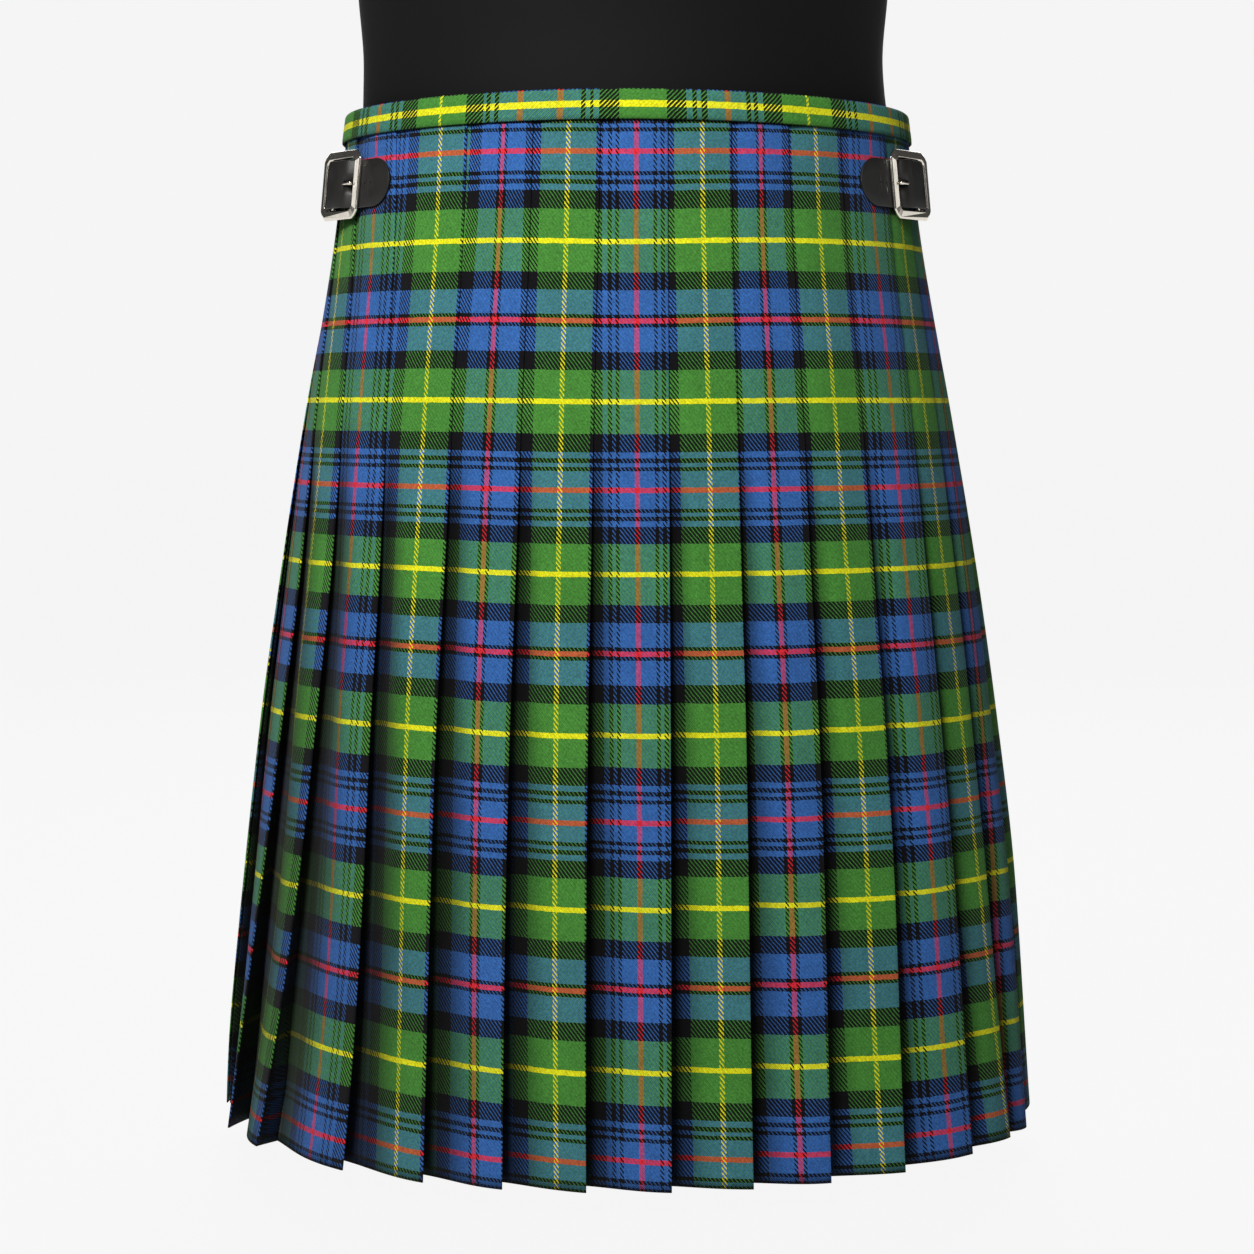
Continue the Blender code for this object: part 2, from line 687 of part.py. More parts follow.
pieces = [
    cloth_wall("kilt_pleats", pleat_line, tartan),
    cloth_wall("apron_over", over_apron_line, tartan),
    cloth_wall("apron_under", under_apron_line, tartan),
    make_waistband(band_tartan),
    make_torso(form_cover),
]
pieces += make_stand(form_metal)
for side, word in ((-1, "left"), (1, "right")):
    frame = buckle_frame_of(side)
    pieces.append(make_strap(side, word, frame, leather))
    pieces.append(make_tab(side, word, frame, leather))
    pieces.append(make_buckle(side, word, frame, nickel))
    pieces.append(make_prong(word, frame, nickel))
stand_on_origin(pieces)
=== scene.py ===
# A Scottish kilt seen from its pleated back, worn by a plain black limbless dress form.
# Metres, +Z up. Angles run round the form in degrees: 0 is the middle of the back, 90 is +X.
# A drop is a distance below the top edge of the waistband.
import json
import math
from collections import namedtuple

import bmesh
import bpy
from mathutils import Matrix, Vector

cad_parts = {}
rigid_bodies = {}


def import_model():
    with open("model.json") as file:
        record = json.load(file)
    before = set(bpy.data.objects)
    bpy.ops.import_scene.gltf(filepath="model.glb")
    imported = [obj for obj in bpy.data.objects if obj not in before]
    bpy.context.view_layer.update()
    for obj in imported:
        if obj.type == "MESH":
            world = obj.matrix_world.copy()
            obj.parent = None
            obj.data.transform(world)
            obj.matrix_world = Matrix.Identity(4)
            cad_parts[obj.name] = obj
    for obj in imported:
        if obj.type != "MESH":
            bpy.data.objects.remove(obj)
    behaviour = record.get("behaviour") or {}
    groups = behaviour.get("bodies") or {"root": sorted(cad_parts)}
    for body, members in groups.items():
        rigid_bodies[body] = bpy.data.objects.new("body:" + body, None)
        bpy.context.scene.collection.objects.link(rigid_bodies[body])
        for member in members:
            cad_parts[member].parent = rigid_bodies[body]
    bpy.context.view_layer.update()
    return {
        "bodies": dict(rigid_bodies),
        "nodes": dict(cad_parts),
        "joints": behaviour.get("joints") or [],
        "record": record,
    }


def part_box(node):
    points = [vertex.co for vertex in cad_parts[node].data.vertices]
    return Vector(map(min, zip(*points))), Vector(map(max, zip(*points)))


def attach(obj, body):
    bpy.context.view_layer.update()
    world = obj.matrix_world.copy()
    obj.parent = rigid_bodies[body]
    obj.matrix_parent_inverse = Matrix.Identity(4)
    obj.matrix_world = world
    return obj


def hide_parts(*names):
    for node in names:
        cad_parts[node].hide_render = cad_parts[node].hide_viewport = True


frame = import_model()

# The pleated back: one length of worsted wool tartan in fourteen knife pleats, pressed flat,
# sewn down over the seat and hanging free below. Each pleat shows the next quarter of the
# pattern. The cloth hangs from the waist, round an oval that widens to the hem.
base_low, base_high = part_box("form_base")
AXIS = Vector(((base_low[0] + base_high[0]) / 2, (base_low[1] + base_high[1]) / 2))
TOP_HEIGHT = 0.628
LENGTH = 0.610
CLOTH = 0.0006


def table(columns, *rows):
    """Rows of numbers whose columns have names."""
    row = namedtuple("Row", columns)
    return [row(*values) for values in rows]


# The oval of the outermost cloth: half its width, and its depth to the back and to the front.
SHAPE = table(
    "drop half_width back front",
    (0.000, 0.1680, 0.1345, 0.1150),
    (0.080, 0.1780, 0.1410, 0.1220),
    (0.170, 0.1935, 0.1500, 0.1330),
    (0.270, 0.2085, 0.1590, 0.1450),
    (0.360, 0.2229, 0.1670, 0.1540),
    (0.460, 0.2345, 0.1740, 0.1620),
    (0.610, 0.2480, 0.1815, 0.1710),
)


def value_at(rows, drop, column):
    """Smooth curve through one column of a table whose first column is the drop."""
    drops = [row.drop for row in rows]
    values = [getattr(row, column) for row in rows]
    last = len(rows) - 1
    if drop <= drops[0]:
        return values[0]
    if drop >= drops[last]:
        return values[last]
    i = max(k for k in range(last) if drops[k] <= drop)
    slopes = []
    for k in (i, i + 1):
        low, high = max(k - 1, 0), min(k + 1, last)
        slopes.append((values[high] - values[low]) / (drops[high] - drops[low]))
    span = drops[i + 1] - drops[i]
    t = (drop - drops[i]) / span
    start = (1 + 2 * t) * (1 - t) ** 2 * values[i] + t * (1 - t) ** 2 * slopes[0] * span
    finish = t * t * (3 - 2 * t) * values[i + 1] - t * t * (1 - t) * slopes[1] * span
    return start + finish


class Ring:
    """The oval outline of the outermost cloth at one drop."""

    def __init__(self, drop):
        self.drop = drop
        self.half_width = value_at(SHAPE, drop, "half_width")
        self.back = value_at(SHAPE, drop, "back")
        self.front = value_at(SHAPE, drop, "front")

    def point(self, angle, inset):
        sine, cosine = math.sin(math.radians(angle)), math.cos(math.radians(angle))
        depth = self.back if cosine > 0 else self.front
        nx, ny = depth * sine, -self.half_width * cosine
        size = math.hypot(nx, ny)
        x = self.half_width * sine - inset * nx / size
        y = -depth * cosine - inset * ny / size
        return AXIS.x + x, AXIS.y + y

    def degrees(self, angle, length):
        depth = self.back if math.cos(math.radians(angle)) > 0 else self.front
        across = self.half_width * math.cos(math.radians(angle))
        along = depth * math.sin(math.radians(angle))
        return math.degrees(length / math.hypot(across, along))


def smooth(t):
    t = min(1.0, max(0.0, t))
    return t * t * (3 - 2 * t)


# Soft hollows and ridges that hang in the cloth: the angle of the crease,
# how far it leans by its lower end, the drops between which it runs, its width and its depth.
CREASES = table(
    "angle lean top bottom width depth",
    (-84.0, 3.0, 0.24, 0.64, 0.016, 0.0016),
    (-69.0, -2.0, 0.30, 0.66, 0.020, -0.0018),
    (-47.0, 2.5, 0.34, 0.66, 0.022, 0.0020),
    (-38.5, 1.0, 0.16, 0.43, 0.014, -0.0009),
    (-24.0, -1.5, 0.28, 0.58, 0.016, 0.0012),
    (-12.5, 1.5, 0.37, 0.65, 0.018, -0.0013),
    (0.5, -1.0, 0.22, 0.50, 0.015, 0.0010),
    (13.5, 1.0, 0.33, 0.66, 0.017, 0.0014),
    (23.0, -2.0, 0.20, 0.46, 0.015, -0.0011),
    (34.0, 2.0, 0.40, 0.66, 0.019, 0.0015),
    (47.5, -1.5, 0.26, 0.60, 0.018, -0.0014),
    (61.0, 2.0, 0.31, 0.66, 0.020, 0.0018),
    (78.0, -2.0, 0.37, 0.86, 0.0075, 0.0085),
    (92.0, 2.0, 0.35, 0.66, 0.022, 0.0018),
    (118.0, 5.0, 0.12, 0.52, 0.030, -0.0020),
    (137.0, -4.0, 0.25, 0.66, 0.040, 0.0028),
    (158.0, 3.0, 0.06, 0.33, 0.026, -0.0014),
    (171.0, -3.0, 0.30, 0.66, 0.045, 0.0030),
    (196.0, 4.0, 0.17, 0.58, 0.034, -0.0024),
    (214.0, -2.0, 0.33, 0.66, 0.038, 0.0026),
    (229.0, -5.0, 0.09, 0.44, 0.028, -0.0016),
    (247.0, 3.0, 0.28, 0.66, 0.030, 0.0020),
)


# How far the cloth swells beyond its plain shape at the wearer's left and right side.
SIDE_EASE = table(
    "drop left right",
    (0.00, 0.0, 0.0), (0.08, 0.0, 0.0010), (0.17, 0.0, 0.0024),
    (0.27, 0.0016, 0.0050), (0.36, 0.0016, 0.0042), (0.46, 0.0019, 0.0062),
    (0.61, 0.0030, 0.0056),
)


def crease_depth(ring, angle):
    """How far the cloth at this angle hangs inwards of its plain shape."""
    sine = math.sin(math.radians(angle))
    total = -value_at(SIDE_EASE, ring.drop, "right" if sine > 0 else "left") * sine * sine
    for crease in CREASES:
        if crease.top < ring.drop < crease.bottom:
            t = (ring.drop - crease.top) / (crease.bottom - crease.top)
            away = (angle - crease.angle - crease.lean * t + 180) % 360 - 180
            reach = ring.degrees(angle, crease.width)
            if abs(away) < 3 * reach:
                total += (crease.depth * math.sin(math.pi * t) ** 1.5
                          * math.exp(-(away / reach) ** 2))
    return total


# The weft lines as they lie on the hanging cloth: how much lower than evenly woven, how much
# more they dip in the middle of the back, and how much higher they lie on the left.
LINE_SAG = table(
    "drop lower dip left_up",
    (0.0000, -0.0003, 0.0008, 0.0), (0.0315, -0.0003, 0.0015, 0.0),
    (0.0793, 0.0009, 0.0022, -0.0004), (0.1248, 0.0001, 0.0018, 0.0),
    (0.1703, 0.0003, 0.0010, 0.0003), (0.2181, 0.0017, 0.0004, 0.0010),
    (0.2659, 0.0002, 0.0003, 0.0018), (0.3114, -0.0011, 0.0003, 0.0018),
    (0.3569, -0.0009, 0.0003, 0.0017), (0.4047, -0.0008, 0.0003, 0.0010),
    (0.4525, -0.0006, 0.0002, 0.0003), (0.4980, -0.0009, 0.0002, 0.0),
    (0.5435, 0.0002, 0.0, 0.0), (0.5914, 0.0020, 0.0, 0.0), (0.6100, 0.0020, 0.0, 0.0),
)
DIP_REACH = 20.0
LEFT_START, LEFT_BLEND = 12.0, 25.0
LEFT_END, LEFT_FADE = 130.0, 30.0


def cloth_down(drop, angle):
    """The place down the pattern that lies at this drop and angle."""
    away = (angle + 180) % 360 - 180
    middle = math.exp(-(away / DIP_REACH) ** 2)
    left = smooth((-away - LEFT_START) / LEFT_BLEND) * smooth((away + LEFT_END) / LEFT_FADE)
    lower = value_at(LINE_SAG, drop, "lower") + value_at(LINE_SAG, drop, "dip") * middle
    return drop - lower + value_at(LINE_SAG, drop, "left_up") * left


def linear(hex_colour):
    """An sRGB hex colour as the linear colour that a shader socket takes."""
    channels = [int(hex_colour[i:i + 2], 16) / 255 for i in (1, 3, 5)]
    return [c / 12.92 if c <= 0.04045 else ((c + 0.055) / 1.055) ** 2.4 for c in channels] + [1.0]


def add_node(tree, kind, inputs=None, **settings):
    """Add a node, set its properties, and give each named input a value or a link."""
    node = tree.nodes.new(kind)
    for name, value in settings.items():
        setattr(node, name, value)
    for name, value in (inputs or {}).items():
        if isinstance(value, bpy.types.NodeSocket):
            tree.links.new(value, node.inputs[name])
        else:
            node.inputs[name].default_value = value
    return node


def new_material(name):
    material = bpy.data.materials.new(name)
    material.use_nodes = True
    material.node_tree.nodes.clear()
    return material, material.node_tree


def maths(tree, operation, *values, **settings):
    """The outcome of one sum with values or links."""
    inputs = dict(enumerate(values))
    node = add_node(tree, "ShaderNodeMath", inputs, operation=operation, **settings)
    return node.outputs[0]


def ranged(tree, value, low, high, first, last, **settings):
    """A value moved from the range low to high onto the range first to last."""
    node = add_node(tree, "ShaderNodeMapRange", {
        "Value": value, "From Min": low, "From Max": high, "To Min": first, "To Max": last,
    }, **settings)
    return node.outputs["Result"]


def mixed(tree, share, first, second, **settings):
    inputs = {"Factor": share, "A": first, "B": second}
    return add_node(tree, "ShaderNodeMix", inputs, **settings).outputs["Result"]


def in_metres(tree):
    """Places on the piece itself."""
    return add_node(tree, "ShaderNodeTexCoord").outputs["Object"]


def noise(tree, place, scale, detail):
    inputs = {"Vector": place, "Scale": scale, "Detail": detail}
    return add_node(tree, "ShaderNodeTexNoise", inputs).outputs["Fac"]


def relief(tree, strength, distance, height):
    inputs = {"Strength": strength, "Distance": distance, "Height": height}
    return add_node(tree, "ShaderNodeBump", inputs).outputs["Normal"]


def give_surface(tree, inputs):
    """The one shader of a material."""
    surface = add_node(tree, "ShaderNodeBsdfPrincipled", inputs)
    add_node(tree, "ShaderNodeOutputMaterial", {"Surface": surface.outputs["BSDF"]})


# Half of the pattern, as the weaver's count of threads from one middle line to the other.
# It is mirrored at both ends. A real rib of the twill is 1.6 mm wide, and it is drawn wider
# here, because it would be too fine to show.
YARNS = {
    "red": "#f8303f", "blue": "#3c70bb", "black": "#111014", "green": "#4f943c",
    "yellow": "#fffc20",
}
HALF_SETT = [
    ("red", 2), ("blue", 16), ("black", 4), ("blue", 4), ("black", 4), ("blue", 6), ("black", 17),
    ("green", 28), ("yellow", 5), ("green", 28), ("black", 18), ("blue", 24), ("black", 4),
    ("red", 3),
]
HALF_THREADS = sum(width for colour, width in HALF_SETT)
WARP_THREAD = 0.000555
WEFT_THREAD = 0.0005725
WEFT_START = 0.0315
TWILL_REPEAT = 0.0023
TWILL_LEAN = -0.79
TWILL_WEFT_SHARE = 0.71
YARN_SWAY = 0.0006


def striped(tree, along, bands):
    """Flat bands of colour along a value that runs from 0 to 1."""
    total = sum(width for colour, width in bands)
    ramp = add_node(tree, "ShaderNodeValToRGB", {"Fac": along})
    ramp.color_ramp.interpolation = "CONSTANT"
    stops = ramp.color_ramp.elements
    stops.remove(stops[1])
    reached = 0
    for i, (colour, width) in enumerate(bands):
        stop = stops[0] if i == 0 else stops.new(reached / total)
        stop.position = reached / total
        stop.color = linear(YARNS[colour])
        reached += width
    return ramp.outputs["Color"]


def twill_cloth(name, warp_at, weft_at, repeat, slant, weft_share):
    """Worsted twill. The warp and the weft show in turn along fine slanting ribs, so yarns of
    like depth blend into a third colour, and light yarn over dark shows as slanting lines. The
    combed yarn has a dry surface. The colour carries painted shade inside the folds and painted
    shade and light across each rib."""
    material, tree = new_material(name)
    place = add_node(tree, "ShaderNodeUVMap", uv_map="cloth").outputs["UV"]
    axes = add_node(tree, "ShaderNodeSeparateXYZ", {"Vector": place})
    across, down = axes.outputs["X"], axes.outputs["Y"]
    metres = in_metres(tree)

    sway = maths(tree, "ADD", noise(tree, metres, 260.0, 1.0), -0.5)
    across_shaken = maths(tree, "MULTIPLY_ADD", sway, YARN_SWAY, across)
    down_shaken = maths(tree, "MULTIPLY_ADD", sway, -YARN_SWAY, down)
    warp = warp_at(tree, across_shaken)
    weft = weft_at(tree, down_shaken)

    leaning = maths(tree, "MULTIPLY_ADD", down, slant, across_shaken)
    ribs = maths(tree, "PINGPONG", leaning, repeat / 2)
    warp_light, weft_light = (
        add_node(tree, "ShaderNodeRGBToBW", {"Color": yarn}).outputs["Val"]
        for yarn in (warp, weft))
    apart = maths(tree, "SUBTRACT", warp_light, weft_light)
    covering = maths(tree, "MULTIPLY", maths(tree, "MULTIPLY", weft_light, weft_light), warp_light)
    wider = ranged(tree, covering, 0.06, 0.12, 0.0, repeat * 0.36)
    dark_warp = ranged(tree, apart, -0.14, -0.09, repeat * -0.085, 0.0)
    bright_warp = ranged(tree, warp_light, 0.5, 0.8, 0.0, repeat * -0.05)
    narrower = maths(tree, "ADD", dark_warp, bright_warp)
    covered = maths(tree, "ADD", maths(tree, "ADD", ribs, wider), narrower)
    turn_over = repeat * (1 - weft_share) / 2
    soft_edge = repeat * 0.045
    rib = ranged(tree, covered, turn_over - soft_edge, turn_over + soft_edge, 0.02, 0.98,
                 interpolation_type="SMOOTHSTEP")
    crisp = ranged(tree, maths(tree, "ABSOLUTE", apart), 0.05, 0.12, 0.12, 1.0)
    blend = maths(tree, "MINIMUM", maths(tree, "MULTIPLY_ADD", apart, -4.0, 0.62), 0.76)
    woven = mixed(tree, mixed(tree, crisp, blend, rib), warp, weft, data_type="RGBA")

    fluff = noise(tree, metres, 800.0, 2.0)
    fold_shade_fac = add_node(tree, "ShaderNodeAttribute", attribute_name="painted_fold_shade").outputs["Fac"]
    shade = 1.0
    for part in (
        ranged(tree, fluff, 0.3, 0.7, 0.74, 1.22),
        # Painted shade and light across each twill rib, darker and lighter in turn.
        ranged(tree, ribs, 0.0, repeat / 2, 0.88, 1.08),
        ranged(tree, noise(tree, metres, 30.0, 3.0), 0.3, 0.7, 0.93, 1.07),
        # Painted shade: the colour is darker where the fold shade attribute is high.
        ranged(tree, fold_shade_fac, 0.0, 1.0, 1.0, 0.10),
    ):
        shade = maths(tree, "MULTIPLY", shade, part)
    rounded = maths(tree, "PINGPONG", ribs, repeat / 4)
    height = maths(tree, "MULTIPLY_ADD", fluff, 0.00008, rounded)
    give_surface(tree, {
        "Base Color": mixed(tree, 1.0, woven, shade, data_type="RGBA", blend_type="MULTIPLY"),
        "Roughness": 0.88, "Specular IOR Level": 0.10, "Sheen Weight": 0.04, "Sheen Roughness": 0.5,
        "Normal": relief(tree, 0.45, 1.0, height),
    })
    return material


def sett(thread, start):
    """The mirrored half pattern, repeated along a distance in metres."""
    half = HALF_THREADS * thread

    def colour_at(tree, distance):
        counted = maths(tree, "PINGPONG", maths(tree, "ADD", distance, -start), half)
        return striped(tree, maths(tree, "MULTIPLY", counted, 1 / half), HALF_SETT)
    return colour_at


tartan = twill_cloth("worsted_twill_tartan", sett(WARP_THREAD, 0.0), sett(WEFT_THREAD, WEFT_START),
                     TWILL_REPEAT, TWILL_LEAN, TWILL_WEFT_SHARE)


def new_object(name, data):
    """An object in the scene, at the origin."""
    made = bpy.data.objects.new(name, data)
    bpy.context.scene.collection.objects.link(made)
    return made


def loft(name, rows, closed=False):
    """A sheet through rows of points with the same count. A point is its place, the cloth
    coordinate on its left side and on its right side, the coordinate down the cloth, and how
    much painted shade it takes in a fold."""
    count = len(rows[0])
    points = [point[0] for row in rows for point in row]
    faces = []
    corners = []
    for r, (upper, lower) in enumerate(zip(rows, rows[1:])):
        up, low = r * count, (r + 1) * count
        for j in range(count if closed else count - 1):
            k = (j + 1) % count
            faces.append((up + j, low + j, low + k, up + k))
            corners += [
                (upper[j][2], upper[j][3]), (lower[j][2], lower[j][3]),
                (lower[k][1], lower[k][3]), (upper[k][1], upper[k][3]),
            ]
    mesh = bpy.data.meshes.new(name)
    mesh.from_pydata(points, [], faces)
    layer = mesh.uv_layers.new(name="cloth")
    for corner, place in zip(layer.data, corners):
        corner.uv = place
    # Painted shade: each point stores how much its colour is darkened in a fold.
    depth = mesh.attributes.new("painted_fold_shade", "FLOAT", "POINT")
    painted_shade_values = [point[4] if len(point) > 4 else 0.0 for row in rows for point in row]
    depth.data.foreach_set("value", painted_shade_values)
    mesh.polygons.foreach_set("use_smooth", [True] * len(mesh.polygons))
    mesh.update()
    return new_object(name, mesh)


def give_thickness(piece, thickness):
    wall = piece.modifiers.new("cloth thickness", "SOLIDIFY")
    wall.thickness = thickness
    wall.offset = 0.0


def finish_piece(piece, finish, node=None):
    """Give a piece its material, its body and the solid that it stands for."""
    piece.data.materials.clear()
    piece.data.materials.append(finish)
    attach(piece, "root")
    if node:
        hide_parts(node)


# Each fold edge: its angle at the waist, hip and hem, how far from it the middle line of its
# pleat's pattern lies at three heights, and how far the face beside it bows at the hem.
HIP_DROP = 0.270
FOLDS = table(
    "waist hip hem line_at_waist line_at_middle line_at_hem bow",
    (-106.0, -82.0, -93.0, 0.0170, 0.0170, 0.0170, 0.0),
    (-89.0, -67.5, -75.0, 0.0170, 0.0180, 0.0190, 0.0012),
    (-70.5, -55.4, -61.5, 0.0170, 0.0222, 0.0240, 0.0020),
    (-52.5, -42.7, -41.2, 0.0170, 0.0232, 0.0283, 0.0024),
    (-32.4, -29.7, -27.8, 0.0167, 0.0179, 0.0187, 0.0014),
    (-18.2, -17.5, -16.5, 0.0163, 0.0184, 0.0168, 0.0018),
    (-5.1, -5.7, -5.4, 0.0168, 0.0172, 0.0162, 0.0010),
    (7.6, 6.4, 5.65, 0.0170, 0.0172, 0.0158, 0.0016),
    (20.0, 17.7, 16.5, 0.0167, 0.0167, 0.0157, 0.0014),
    (32.3, 29.5, 27.5, 0.0170, 0.0200, 0.0164, 0.0020),
    (45.6, 41.8, 39.6, 0.0175, 0.0177, 0.0124, 0.0011),
    (62.2, 55.1, 53.4, 0.0157, 0.0178, 0.0148, 0.0019),
    (75.0, 65.5, 65.0, 0.0165, 0.0134, 0.0022, 0.0026),
    (90.0, 77.0, 73.0, 0.0165, 0.0168, 0.0170, 0.0034),
    (106.0, 92.0, 93.0, 0.0165, 0.0130, 0.0040, 0.0024),
)
MIDDLE_PLEAT = 7
LINE_THREADS = (0.0, 83.5, 163.0, 242.5)
PLEAT_CLOTH = 0.088
LAYER = 0.0007
FELL_DROP = 0.190
HEM_RISE = 0.016
OPEN_RISE = 0.0055
LEAST_TUCK = 0.003
MOST_TUCK = 0.62
FACE_STEPS = 19
FACE_HOLLOW = 1.35
FACE_SPACING = 1.25
BOW_PLACE = 1.6
RETURN_SAG = 0.15
# The painted fold shadow: how far past each fold edge the cloth's colour is darkened, how it fades,
# where it starts, and how much wider it grows to the left.
FOLD_SHADOW = 0.015
SHADOW_FALL = 0.8
SHADOW_ABOVE, SHADOW_BLEND = 0.02, 0.07
SHADOW_LEFT = 0.021
RETURN_STEPS = 5
CLOTH_ROWS = 84
FIRST_DROP = 0.0015
LAST_UNDER = 0.0006
HEM_LIFT = 0.0028
LIFT_START, LIFT_FULL = 38.0, 63.0
LIFT_FADE, LIFT_END = 120.0, 150.0
LIFT_DROPS = (0.35, 0.50)
SQUEEZE = table(
    "drop share by_red_line",
    (0.0, 0.92, 0.78), (0.08, 0.94, 0.82), (0.15, 0.95, 0.92),
    (0.27, 0.97, 0.97), (0.61, 1.0, 1.0),
)


def fold_rise(drop):
    """How far a fold edge stands above the tucked edge: flat in the sewn part, open at the hem."""
    t = max(0.0, drop - FELL_DROP) / (LENGTH - FELL_DROP)
    return 2 * LAYER + (HEM_RISE - 2 * LAYER) * math.sin(t * math.pi / 2)


def through_three(drop, middle, waist, hip, hem):
    """The curve through a value at the waist, one at the middle drop and one at the hem."""
    at_waist = waist * (drop - middle) * (drop - LENGTH) / (middle * LENGTH)
    at_middle = hip * drop * (drop - LENGTH) / (middle * (middle - LENGTH))
    at_hem = hem * drop * (drop - middle) / (LENGTH * (LENGTH - middle))
    return at_waist + at_middle + at_hem


def fold_angle(fold, drop):
    return through_three(drop, HIP_DROP, fold.waist, fold.hip, fold.hem)


def hem_lift(drop, angle):
    """How much higher the cloth hangs towards the hem at the wearer's right side."""
    around = smooth((angle - LIFT_START) / (LIFT_FULL - LIFT_START))
    around *= smooth((LIFT_END - angle) / (LIFT_END - LIFT_FADE))
    return HEM_LIFT * around * smooth((drop - LIFT_DROPS[0]) / (LIFT_DROPS[1] - LIFT_DROPS[0]))


def pleated_row(drop):
    """One row of the strip. It runs along each face to the fold edge, round the edge, back
    along the return and round into the next face."""
    ring = Ring(drop)
    angles = [fold_angle(fold, drop) for fold in FOLDS]
    widths = [(b - a) / ring.degrees((a + b) / 2, 1.0) for a, b in zip(angles, angles[1:])]
    rise = fold_rise(drop)
    openness = min(1.0, max(0.0, (rise - OPEN_RISE) / (HEM_RISE - OPEN_RISE)))
    # The painted fold shade fades in from just above the sewn-down part.
    shaded = smooth((drop - FELL_DROP + SHADOW_ABOVE) / SHADOW_BLEND)
    tucks = []
    for i in range(len(FOLDS)):
        shown = widths[min(i, len(widths) - 1)]
        least = min(widths[max(i - 1, 0)], shown)
        spare = PLEAT_CLOTH - shown
        tuck = (spare ** 2 - rise ** 2) / (2 * spare)
        tucks.append(min(max(tuck, LEAST_TUCK), MOST_TUCK * least))
    row = []

    # A point's depth is the painted shade it takes in its colour, from 0 to 1.
    def put(angle, level, left, right=None, depth=1.0):
        x, y = ring.point(angle, rise + CLOTH / 2 - level + crease_depth(ring, angle))
        place = (x, y, TOP_HEIGHT - drop + hem_lift(drop, angle))
        sides = (left, left if right is None else right)
        row.append((place, *sides, cloth_down(drop, angle), depth * shaded))

    for i, fold in enumerate(FOLDS):
        tuck = tucks[i]
        angle = angles[i]
        tuck_angle = angle - ring.degrees(angle, tuck)
        quarter = i - MIDDLE_PLEAT
        line = LINE_THREADS[quarter % 4] + 2 * HALF_THREADS * (quarter // 4)
        squeeze = value_at(SQUEEZE, drop, "by_red_line" if quarter % 4 == 2 else "share")
        line_room = through_three(
            drop, LENGTH / 2, fold.line_at_waist, fold.line_at_middle, fold.line_at_hem)
        edge = line * WARP_THREAD + line_room / squeeze
        if i > 0:
            under = tucks[i - 1]
            total = widths[i - 1] + under
            before = angles[i - 1]
            start = before - ring.degrees(before, under)
            for step in range(FACE_STEPS):
                t = step / (FACE_STEPS - 1)
                stop = total * (1 - (1 - t) ** FACE_SPACING)
                if stop < under:
                    place = start + (before - start) * stop / under
                    flat = 0.0
                else:
                    place = before + (angle - before) * (stop - under) / (total - under)
                    flat = rise * smooth((stop - under) / (total - tuck - under))
                sloped = rise * (stop / total) ** FACE_HOLLOW
                shown = max(0.0, (stop - under) / (total - under))
                # Painted shadow: the cloth just past the previous fold edge is darkened in its
                # colour, fading over this reach.
                reach = FOLD_SHADOW * (0.5 + rise / HEM_RISE)
                reach *= 1.1 + SHADOW_LEFT * max(0.0, -angle)
                shadow = smooth(1 - (stop - under) / reach)
                bow = fold.bow * openness * math.sin(math.pi * shown ** BOW_PLACE)
                here = edge - (total - stop) / squeeze
                before_fold = row[-1][1] if step == 0 and row else here
                level = flat + openness * (sloped - flat) + bow
                if step == 0 and row:
                    row.pop()
                put(place, level, before_fold, here, shadow ** SHADOW_FALL)
        turn = LAYER / 2
        # The underside of each fold edge, its return and the tucked layers take full painted shade.
        for bend in (50, 10, -40, -90) if i > 0 else (-90,):
            out = turn * math.cos(math.radians(bend))
            level = rise - turn + turn * math.sin(math.radians(bend))
            put(angle + ring.degrees(angle, out), level, edge + turn * math.radians(90 - bend),
                depth=max(0, -bend) / 90)
        for step in range(1, RETURN_STEPS + 1):
            t = step / RETURN_STEPS
            sag = RETURN_SAG * turn * math.sin(math.pi * t)
            put(angle + (tuck_angle - angle) * t, rise - 2 * turn + (4 * turn - rise) * t - sag,
                edge + turn * math.pi + tuck * t)
        inner = edge + turn * math.pi + tuck
        put(tuck_angle - ring.degrees(angle, turn), turn, inner + turn * math.pi / 2)
        put(tuck_angle, 0.0, inner + turn * math.pi)
    for step in (1, 2, 3, 4):
        end = angles[-1] + ring.degrees(angles[-1], LAST_UNDER)
        put(tuck_angle + (end - tuck_angle) * step / 4, 0.0,
            inner + turn * math.pi + tuck * step / 4)
    return row


def hanging_drops():
    return [FIRST_DROP + (LENGTH - FIRST_DROP) * i / (CLOTH_ROWS - 1) for i in range(CLOTH_ROWS)]


pleat_rows = [pleated_row(drop) for drop in hanging_drops()]
pleats = loft("pleated_back", pleat_rows)
give_thickness(pleats, CLOTH)
finish_piece(pleats, tartan, "kilt_pleats")

# The two aprons: flat panels of the same cloth that lap over each other across the front.
# Their inner edges run on from the pleats, and each free edge is turned under and pressed.
APRON_STEPS = 96
APRON_LEVEL = 0.0050
APRON_LIFT = 0.0012
APRON_SETTLE = 60.0
OVER_FREE_EDGE = (-242.0, -252.0)
UNDER_FREE_EDGE = (234.0, 240.0)
UNDER_SEAM = 0.0011
FRONT_LINE = 163.0 * WARP_THREAD


def front_distance(ring, angle):
    """Length of cloth from the middle of the front to an angle, along the ring."""
    steps = 12
    total = 0.0
    away = (angle % 360) - 180
    for i in range(steps):
        total += (away / steps) / ring.degrees(180 + away * (i + 0.5) / steps, 1.0)
    return total


